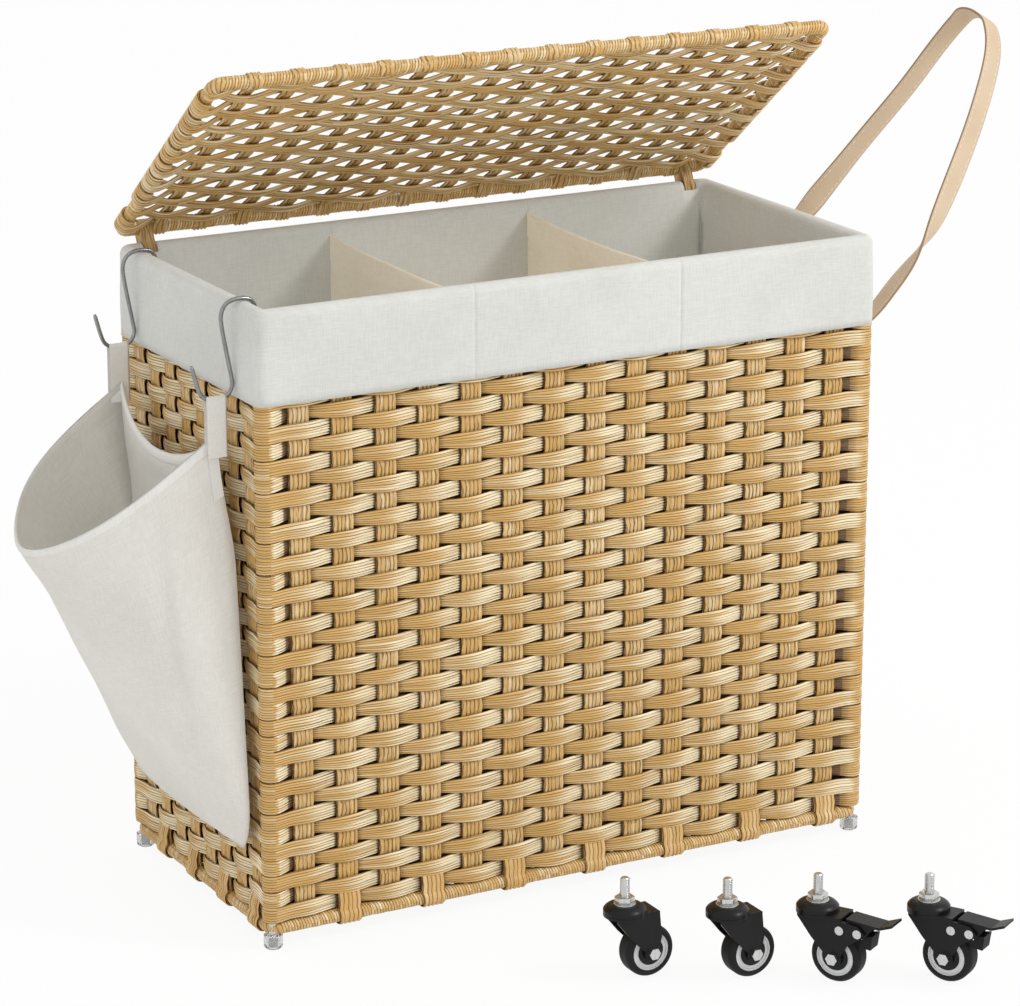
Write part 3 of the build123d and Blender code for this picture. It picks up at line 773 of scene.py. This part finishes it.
# %% [markdown]
# ## The liner and its cuff
# One sheet makes the liner's walls and the cuff: up from the floor inside, over the wrapped rim and
# down outside. Its columns crowd where there is something to show: at the corners, and at the seams
# between the compartments, which pull a groove into the cuff. At the back it is slit for the ties.

# %% Hang the liner
cuff_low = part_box("liner_cuff")[0].z
floor_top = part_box("liner_floor")[1].z
rim_low, rim_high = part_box("top_rail")
rim_z = (rim_low.z + rim_high.z) / 2
CLOTH_OUT = rail_r + 1.05 * mm
CLOTH_BEND, CLOTH_TURN = 4.0 * mm, 19 * mm
SEAM_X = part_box("liner_dividers")[1].x - 1.5 * mm
TIE_HALF = 7.4 * mm
tie_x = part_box("hinge_ties")[1].x - 6 * mm
LINER_THICK = 1.2 * mm

inner = [(-CLOTH_OUT, z) for z in (floor_top + 0.4 * mm, *(0.06 + 0.03 * n for n in range(18)))]
over = arc(CLOTH_OUT, range(0, 181, 15), rim_z, -1)
flap = [(CLOTH_OUT, mix(rim_z - 8 * mm, cuff_low, n / 10)) for n in range(11)]
cuff_route = inner + over + flap

stations = []
start = 0.0
for number, half in enumerate((half_w, half_d) * 2):
    side = 2 * (half - CLOTH_BEND)
    cuts = round(side / 0.014)
    stops = {round(side * n / cuts, 5) for n in range(cuts + 1)}
    if number % 2 == 0:
        for x in (-SEAM_X, SEAM_X):
            for near in (-4, -2, -1, 0, 1, 2, 4):
                stops.add(round(side / 2 + x + near * mm, 5))
        for x in (-tie_x, tie_x):
            stops |= {round(side / 2 + x + near, 5) for near in (-TIE_HALF, TIE_HALF)}
    stations += [start + stop for stop in sorted(stops)]
    stations += [start + side + CLOTH_TURN * n / 6 for n in range(1, 6)]
    start += side + CLOTH_TURN
stations.append(start)


def on_cuff(u, v):
    s = stations[round(u * (len(stations) - 1))]
    out, z = cuff_route[round(v * (len(cuff_route) - 1))]
    point, away = ring(s, max(out, -CLOTH_BEND), half_w, half_d, CLOTH_BEND, CLOTH_TURN)
    point.x = math.copysign(min(abs(point.x), half_w + out), point.x)
    point.y = math.copysign(min(abs(point.y), half_d + out), point.y)
    spot = Vector((point.x, point.y, z))
    crease = noise.noise(spot * 7) + 0.5 * noise.noise(spot * 18)
    if out > 0:
        give = 0.5 * mm * crease * ease((rim_z - z) / 0.03)
        give += 0.8 * mm * noise.noise(spot * 26) * ease((cuff_low + 0.03 - z) / 0.03)
        give += 1.8 * mm * (2 * away.x * away.y) ** 2 * ease((rim_z - z) / 0.05)
    else:
        give = -1.6 * mm * (abs(crease) + 0.2) * ease((rim_z - z) / 0.06)
    if abs(away.y) > 0.99:
        dent = sum(math.exp(-(((point.x - x) / (1.3 * mm)) ** 2)) for x in (-SEAM_X, SEAM_X))
        give -= math.copysign(1.1 * mm * dent, out)
    return (point.x + away.x * give, point.y + away.y * give, z)


mesh = bmesh.new()
add_band(mesh, len(stations) - 1, len(cuff_route) - 1, on_cuff)
middles = [(face, face.calc_center_median()) for face in mesh.faces]
slit = [
    face for face, middle in middles
    if middle.y > half_d - 12 * mm and middle.z > rim_low.z - 1 * mm
    and abs(abs(middle.x) - tie_x) < TIE_HALF
]
bmesh.ops.delete(mesh, geom=slit, context="FACES")
liner = make_piece(
    mesh, "liner_cloth", "basket", liner_linen,
    ("liner_front", "liner_back", "liner_ends", "liner_cuff", "cuff_ends"), 2e-5,
)
thicken(liner, LINER_THICK)
cuff_length = sum(math.dist(a, b) for a, b in zip(cuff_route, cuff_route[1:]))
print("liner cloth", round(start, 3), "by", round(cuff_length, 3))

# %% [markdown]
# Two dividers make three compartments. Each is a folded sheet with a broad hem along its top edge,
# hung between the walls, so its top sags a little.

# %% Hang the dividers
divider_low, divider_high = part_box("liner_dividers")
HEM = 25 * mm
DIVIDER_SAG = 5 * mm
top = divider_high.z - divider_low.z
rises = (0.0, 0.08, 0.2, 0.35, 0.5, 0.62, 0.74, 0.84, 0.91)
climb = [divider_low.z + r * top for r in rises]
climb += [divider_high.z - HEM * k for k in (1.04, 0.96, 0.7, 0.4, 0.15, 0.04)]
route = [(-1, z) for z in climb] + [(0, divider_high.z)] + [(1, z) for z in reversed(climb)]
for number, x in enumerate((-SEAM_X, SEAM_X)):

    def on_divider(u, v, x=x, route=route, number=number):
        side, z = route[round(v * (len(route) - 1))]
        y = mix(divider_low.y + 0.6 * mm, divider_high.y - 0.6 * mm, u)
        free = 4 * u * (1 - u)
        high = ease((z - divider_low.z) / top)
        hem = 0.6 * mm if z > divider_high.z - HEM else 0.0
        belly = 3.0 * mm * free * high * math.sin(3.1 * u + number)
        belly += 1.4 * mm * free * noise.noise((u * 4, z * 7, number * 5.0))
        return (x + side * (0.8 * mm + hem) + belly, y, z - DIVIDER_SAG * free * high)

    mesh = bmesh.new()
    add_band(mesh, 28, len(route) - 1, on_divider)
    piece = make_piece(
        mesh, f"divider_{number + 1}", "basket", divider_linen, ("liner_dividers",)
    )

# %% Lay the floor cloth
mesh = bmesh.new()
floor_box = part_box("liner_floor")
FLOOR_TRIM = 1.8 * mm


def on_floor(u, v):
    x = mix(floor_box[0].x + FLOOR_TRIM, floor_box[1].x - FLOOR_TRIM, u)
    y = mix(floor_box[0].y + FLOOR_TRIM, floor_box[1].y - FLOOR_TRIM, v)
    return (x, y, floor_top + 0.9 * mm * noise.noise((x * 9, y * 9, 1.0)))


add_band(mesh, 48, 24, on_floor)
piece = make_piece(mesh, "floor_cloth", "basket", liner_linen, ("liner_floor",))
thicken(piece, LINER_THICK)

# %% [markdown]
# ## The side bag
# The bag hangs from two loops and gapes under its own weight: its mouth slopes down and away from
# the wall, its sides widen below, and its bottom is a flat seam with round corners. Each level of
# it is a half oval against a straight back. The front and the back have as many columns, so that
# they close along the bottom seam.

# %% Shape the bag
bag_hinge = Vector(joints["bag_swing"]["pos_m"])
MOUTH_SLOPE, MOUTH_REACH, MOUTH_HALF = math.radians(34.6), 183 * mm, 108 * mm
MOUTH_LIFT = 10.5 * mm  # of the lip's ends, up the loops
BAG_HALF, SEAM_HALF = 136 * mm, 118 * mm
LOW_REACH = 22 * mm  # what the front would reach at the bottom, if it weren't closed there
bag_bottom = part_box("side_bag")[0].z
mouth_z = bag_hinge.z - 3 * mm
wall_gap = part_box("side_bag")[1].x
BAG_COLUMNS, BAG_ROWS, BAG_THICK = 112, 46, 1.4 * mm
BAG_CREASE, BAG_TUCK = 2.6 * mm, 6 * mm
BACK_BELLY, BACK_SAG = 14 * mm, 20 * mm  # of the back's lip, away from the wall and down
BAG_LOOK = (0.62, 0.39)  # size of the bag's chart, in metres


def bag_point(u, t, out=0.0):
    """A point of the bag: u round from the near corner, t down from the mouth."""
    front = u < 0.5
    angle = math.pi * (2 * u - 0.5) if front else math.pi * (1.5 - 2 * u)
    swing = math.sin(angle)
    corner = ease((t - 0.84) / 0.16)
    half = mix(MOUTH_HALF, BAG_HALF, t ** 0.8)
    half = mix(half, SEAM_HALF, 1 - math.sqrt(max(1 - corner * corner, 0)))
    close = max((t - 0.78) / 0.22, 0.0)
    reach = mix(MOUTH_REACH, LOW_REACH, t) * math.sqrt(max(1 - close * close, 0.0))
    slope = MOUTH_SLOPE * (1 - t) ** 1.1
    back_x = mix(bag_hinge.x + 1 * mm, wall_gap, ease(t / 0.3))
    z = mix(mouth_z, bag_bottom + 4 * mm, t)
    y = half * swing - 8 * mm * t
    if front:
        full = mix(1.1, 0.52, ease(swing))  # the far side of the mouth is rounder
        a = reach * max(math.cos(angle), 0.0) ** mix(full, 0.86, ease(t / 0.4))
        crease = noise.noise((y * 9, z * 6, 3.0)) + 0.5 * noise.noise((y * 22, z * 13, 4.0))
        free = math.cos(angle) * (1 - ease((t - 0.8) / 0.2))
        a += (BAG_CREASE * crease + out) * free
        fold = angle + 1.12 - 0.25 * t if angle < 0 else angle - 0.62 - 0.3 * t
        tuck = math.exp(-((fold / 0.06) ** 2))
        a -= BAG_TUCK * tuck * ease(t / 0.12) * (1 - ease((t - 0.5) / 0.4))
        y += math.copysign(out, swing) * (1 - free)
    else:
        sag = 1 - swing * swing
        a = (BACK_BELLY * sag * (1 - ease(t / 0.25)) - out) * (1 - ease((t - 0.9) / 0.1))
        z -= BACK_SAG * sag * (1 - ease(t / 0.2))
    z += MOUTH_LIFT * swing ** 6 * (1 - ease(t / 0.15))
    return (back_x - a * math.cos(slope), y, z - a * math.sin(slope))


mesh = bmesh.new()
add_band(mesh, BAG_COLUMNS, BAG_ROWS, lambda u, v: bag_point(u % 1, v))
# The bag's linen glows a little: painted light.
bag_linen = linen("bag_linen", tone(219, 217, 211), tone(207, 204, 196), BAG_LOOK, 0.11)
bag = make_piece(mesh, "bag_cloth", "bag", bag_linen, ("side_bag",), 1e-4)
thicken(bag, BAG_THICK)
bag_length = mouth_z - bag_bottom

# %% [markdown]
# A turned hem runs round the mouth. It is a closed band that sits astride the bag's edge, with the
# fold at its top and a row of stitches pulled in along its lower side.

# %% Hem the mouth
HEM_DEEP = 0.026  # of the bag's height
hem_route = [
    (HEM_DEEP, 1.0), (HEM_DEEP * 0.8, 1.9), (HEM_DEEP * 0.4, 2.0), (0.003, 1.7), (-0.003, 0.0),
    (0.003, -1.7), (HEM_DEEP * 0.4, -2.0), (HEM_DEEP * 0.8, -1.9), (HEM_DEEP, -1.0),
    (HEM_DEEP, 1.0),
]


def on_hem(u, v):
    t, out = hem_route[round(v * (len(hem_route) - 1))]
    x, y, z = bag_point(u % 1, max(t, 0.0), out * mm)
    return (x, y, z + max(-t, 0.0) * bag_length)


mesh = bmesh.new()
add_band(mesh, BAG_COLUMNS, len(hem_route) - 1, on_hem)
# The hem's linen glows a little too: painted light.
hem_linen = linen("hem_linen", tone(228, 227, 222), tone(216, 214, 207), (0.62, 0.02), 0.08)
make_piece(mesh, "bag_edge", "bag", hem_linen, ("bag_hem",), 1e-5)

# %% [markdown]
# Below each loop, a tab of the same tape is sewn to the bag: down the outside of its front at the
# near loop, and down its back at the far one.

# %% Sew on the tabs
TAB_TURN, TAB_DEEP = 0.0125, 0.12  # of the bag's round and of its height
mesh = bmesh.new()
for start in (0.0, 0.5):
    for top in (0.6, 1.8):

        def on_tab(u, v, start=start, top=top):
            return bag_point(start + TAB_TURN * u, TAB_DEEP * v, top * mm)

        add_band(mesh, 6, 12, on_tab)
make_piece(mesh, "bag_tabs", "bag", hem_linen, (), 1e-6)

# %% [markdown]
# Two cloth loops hang the bag on its hooks: a flat tape that goes up, over the wire and down again.

# %% Loop the bag over its hooks
LOOP_WIDTH, TAPE_R = 20 * mm, 2.9 * mm
wire_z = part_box("bag_loops")[1].z - 3.8 * mm
mesh = bmesh.new()
foot = mouth_z - 9 * mm
leg = [((2.6 + 0.6 * k) * mm, mix(wire_z, foot, k)) for k in (0.2, 0.4, 0.6, 0.8, 1.0)]
loop_route = [(-a, z) for a, z in reversed(leg)]
loop_route += arc(TAPE_R, range(0, 181, 30), wire_z, -1) + leg
for y in (-HOOK_Y, HOOK_Y):
    lath(
        mesh, loop_route, LOOP_WIDTH, 4, 1.1 * mm, 0.06 * mm,
        lambda a, z, across, y=y: (bag_hinge.x + across, y + a, z),
    )
make_piece(mesh, "loop_tapes", "bag_hangers", hem_linen, ("bag_loops",), 1e-5)

# %% [markdown]
# ## The carrying strap
# The strap is a coated tape with painted edges and a line of stitches along each side. It leaves
# its pins flat to the wall and turns on edge before it arches, so its width swings round along the
# route. Bezier arcs through a few points give it the smooth line of a springy strap.

# %% Finish for the strap
def strap_hide():
    finish = Finish("strap_hide", Specular_IOR_Level=0.4)
    u, v = finish.chart()
    across = ((v * 2).part() - 0.5).size() * 2
    grain = finish.noise(finish.place(), 700.0, 3.0)
    cloud = finish.noise(finish.place(), 25.0, 2.0)
    dash = ((u * 210).part()).above(0.35)
    stitch = across.ramp(0.62, 0.66) * across.ramp(0.76, 0.72) * dash
    edge = across.ramp(0.90, 0.97)
    colour = finish.blend(cloud, tone(196, 172, 142), tone(212, 190, 162))
    colour = finish.blend(stitch * 0.7, colour, tone(238, 226, 204))
    colour = finish.blend(edge, colour, tone(150, 120, 88))
    return finish.set(
        Base_Color=colour, Roughness=0.42 + grain * 0.2,
        Normal=finish.bump(grain * 0.15 + stitch, 0.4 * mm),
    )


# %% Arch the strap
def smooth_line(knots, cuts):
    """Points of a smooth line through knots, each with how many knots lie before it."""
    points = []
    last = len(knots) - 1
    for n in range(last):
        here, there = knots[n], knots[n + 1]
        lead = (there - knots[max(n - 1, 0)]) / 6
        follow = (knots[min(n + 2, last)] - here) / 6
        arc = bezier(here, here + lead, there - follow, there, cuts)
        points += [(n + k / (cuts - 1), p) for k, p in enumerate(arc[:-1])]
    return points + [(float(last), knots[-1])]


strap_pin = Vector(joints["strap_swing"]["pos_m"])
STRAP_WIDTH, STRAP_THICK = 22 * mm, 3 * mm
STRAP_CUTS, STRAP_ROUND = 9, 24
PIN_Y, EYE_R = 112 * mm, 3.55 * mm
STRAP_TILT = math.radians(32)
half_route = (
    (2.8, 112.0, 2.2), (24.0, 111.0, 17.0), (45.0, 109.0, 36.5), (73.0, 105.0, 63.0),
    (100.0, 100.0, 94.0), (137.0, 85.0, 144.0), (173.0, 66.0, 195.0), (201.0, 47.0, 243.0),
    (212.0, 28.0, 270.0), (211.0, 11.0, 280.0),
)
strap_knots = [strap_pin + Vector((x, -y, z)) * mm for x, y, z in half_route]
strap_knots += [Vector((p.x, -p.y, p.z)) for p in reversed(strap_knots)]
strap_points = smooth_line(strap_knots, STRAP_CUTS)
strap_run = sum((b[1] - a[1]).length for a, b in zip(strap_points, strap_points[1:]))


def rounded(wave, power):
    """A cosine or sine with fuller sides, for a tape's section."""
    return math.copysign(abs(wave) ** power, wave)


def on_strap(u, v):
    last = len(strap_points) - 1
    n = round(u * last)
    knot, point = strap_points[n]
    along = (strap_points[min(n + 1, last)][1] - strap_points[max(n - 1, 0)][1]).normalized()
    from_end = min(knot, len(strap_knots) - 1 - knot)
    turned = ease((from_end - 2) / 3)
    side = 1 if point.y < 0 else -1
    across = Vector((0, side * (1 - turned), 0))
    across += Vector((math.cos(STRAP_TILT), 0, -math.sin(STRAP_TILT))) * turned
    across = (across - along * across.dot(along)).normalized()
    face = along.cross(across)
    angle = 2 * math.pi * v
    wide = rounded(math.cos(angle), 0.5) * STRAP_WIDTH / 2
    deep = rounded(math.sin(angle), 0.4) * STRAP_THICK / 2
    return point + across * wide + face * deep


def strap_chart(u, v):
    return u * strap_run, 0.25 + 0.2499 * rounded(math.cos(2 * math.pi * v), 0.5)


mesh = bmesh.new()
add_band(mesh, len(strap_points) - 1, STRAP_ROUND, on_strap, strap_chart)
for y in (-PIN_Y, PIN_Y):
    lath(
        mesh, arc(EYE_R, range(40, -321, -20)), STRAP_WIDTH, 4, STRAP_THICK - 0.1 * mm, 0.02 * mm,
        lambda a, b, across, y=y: (strap_pin.x + a, y + across, strap_pin.z + b),
    )
make_piece(mesh, "strap_band", "strap", strap_hide(), ("handle_strap",), 1e-6)
print("strap", round(strap_run, 3), "long")

# %% [markdown]
# ## Metal, rubber and clear plastic
# Most of these pieces keep the model's own shapes. Enamel has a faint orange peel, zinc and nickel
# are streaked along the way they were drawn, rubber is dusty, and the feet are clear vinyl.

# %% Finishes for the hardware
def enamel():
    finish = Finish("black_enamel", Specular_IOR_Level=0.2, Coat_Weight=0.06, Coat_Roughness=0.1)
    peel = finish.noise(finish.place(), 420.0, 2.0)
    cloud = finish.noise(finish.place(), 60.0, 2.0)
    return finish.set(
        Base_Color=finish.blend(cloud, tone(12, 12, 13), tone(24, 24, 25)),
        Roughness=0.28 + peel * 0.22, Normal=finish.bump(peel, 0.15 * mm, 0.5),
    )


def plated(name, colour, dull):
    finish = Finish(name, Metallic=1.0)
    x, y, z = finish.split(finish.place())
    streak = finish.noise(finish.vector(x * 900, y * 900, z * 60), 1.0, 2.0)
    return finish.set(
        Base_Color=finish.blend(streak, colour, dull), Roughness=0.18 + streak * 0.2,
        Normal=finish.bump(streak, 0.05 * mm, 0.5),
    )


def moulded(name, pale, deep, rough, grain_scale):
    finish = Finish(name, Specular_IOR_Level=0.25)
    grain = finish.noise(finish.place(), grain_scale, 3.0)
    cloud = finish.noise(finish.place(), 80.0, 2.0)
    return finish.set(
        Base_Color=finish.blend(cloud, pale, deep), Roughness=rough + (grain - 0.5) * 0.2,
        Normal=finish.bump(grain, 0.1 * mm, 0.6),
    )


def vinyl():
    finish = Finish("clear_vinyl", Transmission_Weight=0.85, IOR=1.45)
    haze = finish.noise(finish.place(), 300.0, 2.0)
    return finish.set(
        Base_Color=finish.blend(haze, tone(236, 236, 234), tone(214, 214, 212)),
        Roughness=0.12 + haze * 0.15, Normal=finish.bump(haze, 0.2 * mm, 0.5),
    )


def tie():
    finish = Finish("tie_cord", Roughness=0.8)
    x, y, z = finish.split(finish.place())
    strand = finish.noise(finish.vector(x * 900, y * 60, z * 60), 1.0, 2.0)
    return finish.set(
        Base_Color=finish.blend(strand.ramp(0.3, 0.7), tone(120, 84, 42), tone(214, 180, 122)),
        Normal=finish.bump(strand, 0.4 * mm),
    )


hardware = {
    "black_metal": enamel(),
    "zinc_steel": plated("bright_zinc", tone(226, 226, 224), tone(176, 176, 174)),
    "hook_wire": plated("nickel_wire", tone(176, 176, 176), tone(104, 104, 104)),
    "hub_plastic": moulded("hub_grey", tone(232, 233, 234), tone(212, 213, 214), 0.4, 900.0),
    "tyre_rubber": moulded("tyre_black", tone(14, 14, 14), tone(28, 28, 28), 0.62, 500.0),
    "clear_plastic": vinyl(),
    "tie_cord": tie(),
    "wicker": rush_wrap,
}
slots = {part["node"]: part["material_slot"] for part in frame["record"]["subparts"]}
for name, node in frame["nodes"].items():
    if slots[name] in hardware:
        node.data.materials.clear()
        node.data.materials.append(hardware[slots[name]])

# %% [markdown]
# The bag hangs on two hooks of springy wire. Each is bent over the rim, runs down the cuff and
# turns out and up again under its loop. A smooth line through a few points gives the bends of real
# wire, as it does for the strap, and a tube of vertices follows it.

# %% Bend the hooks
hooks_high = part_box("side_hooks")[1]
WIRE_R, WIRE_SIDES, WIRE_CUTS = 2.0 * mm, 14, 6
rim_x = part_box("liner_cuff")[0].x
over_x, over_z = hooks_high.x - WIRE_R - rim_x, hooks_high.z - WIRE_R
hook_knots = (
    (over_x, over_z - 26 * mm), (over_x, over_z - 12 * mm), (over_x - 4 * mm, over_z - 3 * mm),
    (over_x - 12 * mm, over_z), (0.0, over_z - 0.2 * mm), (-8.5 * mm, over_z - 4 * mm),
    (-13 * mm, over_z - 13 * mm), (-12.4 * mm, over_z - 26 * mm), (-7.2 * mm, over_z - 55 * mm),
    (-3.6 * mm, wire_z + 17 * mm), (-3.4 * mm, wire_z + 11 * mm), (-7.0 * mm, wire_z + 4 * mm),
    (-13.5 * mm, wire_z + 0.2 * mm), (-20.5 * mm, wire_z), (-28 * mm, wire_z + 0.8 * mm),
    (-34 * mm, wire_z + 5 * mm), (-38 * mm, wire_z + 14 * mm), (-43.5 * mm, wire_z + 34 * mm),
)
mesh = bmesh.new()
for y in (-HOOK_Y, HOOK_Y):
    knots = [Vector((rim_x + x, y, z)) for x, z in hook_knots]
    line = [point for _, point in smooth_line(knots, WIRE_CUTS)]

    def on_wire(u, v, line=line):
        last = len(line) - 1
        n = round(u * last)
        along = (line[min(n + 1, last)] - line[max(n - 1, 0)]).normalized()
        across = along.cross(Vector((0, 1, 0)))
        angle = 2 * math.pi * v
        r = WIRE_R * (0.6 if n in (0, last) else 1.0)
        return line[n] + r * (across * math.cos(angle) + Vector((0, math.sin(angle), 0)))

    add_band(mesh, len(line) - 1, WIRE_SIDES, on_wire)
bmesh.ops.remove_doubles(mesh, verts=mesh.verts, dist=1e-6)
bmesh.ops.holes_fill(mesh, edges=[e for e in mesh.edges if e.is_boundary], sides=WIRE_SIDES)
make_piece(mesh, "hook_wires", "basket", hardware["hook_wire"], ("side_hooks",))

# %% [markdown]
# The stems of the castors are threaded. A thread is a small ridge that climbs as it turns, which is
# what spin makes when it is given a rise for each step. A nut on a washer sits at the stem's foot.

# %% Cut the threads and set the nuts
THREAD_PITCH, THREAD_STEPS, THREAD_TURNS = 1.6 * mm, 16, 11
THREAD_LOW = 19 * mm  # below the stem's top
THREAD_RIDGE = ((3.7, 0.0), (4.6, 0.4), (3.7, 0.8))
NUT_R, NUT_HIGH, STEM_HIGH = 9.6 * mm, 6.4 * mm, 26 * mm


def castor_piece(mesh, number, name, body, slot):
    castor = f"castor_{number}"
    make_piece(mesh, f"{castor}_{name}", f"{castor}_{body}", hardware[slot])


for number in range(1, 5):
    stem_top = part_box(f"castor_{number}_stem")[1].z
    x, y, _ = joints[f"castor_{number}_swivel"]["pos_m"]
    mesh = bmesh.new()
    profile = [
        mesh.verts.new((x + r * mm, y, stem_top - THREAD_LOW + z * mm)) for r, z in THREAD_RIDGE
    ]
    edges = [mesh.edges.new(profile[:2]), mesh.edges.new(profile[1:])]
    bmesh.ops.spin(
        mesh, geom=profile + edges, cent=(x, y, 0), axis=(0, 0, 1),
        dvec=(0, 0, THREAD_PITCH / THREAD_STEPS), angle=2 * math.pi * THREAD_TURNS,
        steps=THREAD_STEPS * THREAD_TURNS,
    )
    castor_piece(mesh, number, "thread", "mount", "zinc_steel")
    mesh = bmesh.new()
    for sides, radius, foot, deep in ((6, NUT_R, mm, NUT_HIGH), (32, NUT_R + mm, 0.0, mm)):
        made = bmesh.ops.create_cone(
            mesh, cap_ends=True, segments=sides, radius1=radius, radius2=radius, depth=deep,
            matrix=Matrix.Translation((x, y, stem_top - STEM_HIGH + foot + deep / 2)),
        )
        around = {edge for vert in made["verts"] for edge in vert.link_edges}
        bmesh.ops.bevel(
            mesh, geom=list(around), offset=0.09 * deep, affect="EDGES", segments=2, profile=0.5,
            material=-1,
        )
    castor_piece(mesh, number, "nut", "mount", "zinc_steel")

# %% [markdown]
# Each wheel has a black cover over the middle of its hub, on both sides: a low dome, spun from its
# outline about the axle.

# %% Cover the hubs
COVER_OUTLINE = ((0.0, 0.9), (7.0, 0.9), (11.5, 0.6), (13.3, 0.0), (13.3, -0.6))
HUB_FACE = 9 * mm  # from the wheel's middle
for number in range(1, 5):
    joint = joints[f"castor_{number}_spin"]
    axle, across = Vector(joint["pos_m"]), Vector(joint["axis"])
    mesh = bmesh.new()
    for side in (-1, 1):
        outline = [
            mesh.verts.new(axle + across * side * (HUB_FACE + h * mm) + Vector((0, 0, r * mm)))
            for r, h in COVER_OUTLINE
        ]
        edges = [mesh.edges.new(pair) for pair in zip(outline, outline[1:])]
        bmesh.ops.spin(
            mesh, geom=outline + edges, cent=axle, axis=across, angle=2 * math.pi, steps=32,
        )
    castor_piece(mesh, number, "cover", "wheel", "black_metal")

# %% [markdown]
# ## The studio
# The photograph is a bright cut-out: a white floor that runs to a white distance, one large soft
# lamp high at the front right, and white all round to fill the shade. The floor glows a little for
# the camera, which keeps it white, and still takes the shadow.

# %% Floor
mesh = bmesh.new()
bmesh.ops.create_circle(mesh, cap_ends=True, segments=64, radius=40.0)
data = bpy.data.meshes.new("studio_floor")
mesh.to_mesh(data)
mesh.free()
floor = bpy.data.objects.new("studio_floor", data)
bpy.context.scene.collection.objects.link(floor)
floor.location.z = -0.0005

ground = Finish(
    "studio_white", Base_Color=(0.9, 0.9, 0.9, 1), Roughness=1.0, Specular_IOR_Level=0.0
)
seen = ground.node("ShaderNodeLightPath", None, None, "Is Camera Ray")
bounced = ground.node("ShaderNodeLightPath", None, None, "Is Glossy Ray")
through = ground.node("ShaderNodeLightPath", None, None, "Is Transmission Ray")
glow = ground.node("ShaderNodeEmission", None, {"Color": (1, 1, 1, 1), "Strength": 1.0})
share = (seen + bounced + through).least(1.0) * 0.92
ground.node(
    "ShaderNodeMixShader", None, {0: share, 1: Value(ground, ground.shader.outputs[0]), 2: glow}
)
surface = ground.tree.nodes["Material Output"].inputs["Surface"]
ground.tree.links.new(ground.tree.nodes["Mix Shader"].outputs[0], surface)
data.materials.append(ground.material)

# %% Light
SKY_FILL = 0.88  # strength of the white all round, where neither camera nor gloss sees it
world = bpy.data.worlds.new("studio")
bpy.context.scene.world = world
world.use_nodes = True
nodes, links = world.node_tree.nodes, world.node_tree.links
sky = nodes["Background"]
sky.inputs["Color"].default_value = (1, 1, 1, 1)
path = nodes.new("ShaderNodeLightPath")
most = nodes.new("ShaderNodeMath")
most.operation = "MAXIMUM"
level = nodes.new("ShaderNodeMapRange")
level.inputs["To Min"].default_value = SKY_FILL
level.inputs["To Max"].default_value = 1.0
links.new(path.outputs["Is Camera Ray"], most.inputs[0])
links.new(path.outputs["Is Glossy Ray"], most.inputs[1])
links.new(most.outputs[0], level.inputs["Value"])
links.new(level.outputs[0], sky.inputs["Strength"])


def lamp(name, place, aim, size, watts):
    data = bpy.data.lights.new(name, "AREA")
    data.size, data.energy = size, watts
    made = bpy.data.objects.new(name, data)
    made.location = place
    made.rotation_euler = (Vector(aim) - Vector(place)).to_track_quat("-Z", "Y").to_euler()
    bpy.context.scene.collection.objects.link(made)


lamp("key", (2.3, -2.4, 3.0), (0, 0, 0.3), 1.1, 64)

# %% Camera
PHOTO_WIDTH, PHOTO_FOCAL = 1020, 3933  # pixels
camera = bpy.data.objects.new("camera", bpy.data.cameras.new("camera"))
camera.data.sensor_width = 36
camera.data.lens = 36 * PHOTO_FOCAL / PHOTO_WIDTH
camera.location = Vector((-1771.25, -3271.77, 1453.89)) * mm
aim = Vector((12.6, 0, 350)) * mm
camera.rotation_euler = (aim - camera.location).to_track_quat("-Z", "Y").to_euler()
camera.data.clip_end = 200
bpy.context.scene.collection.objects.link(camera)
bpy.context.scene.camera = camera
bpy.context.scene.view_settings.view_transform = "Standard"
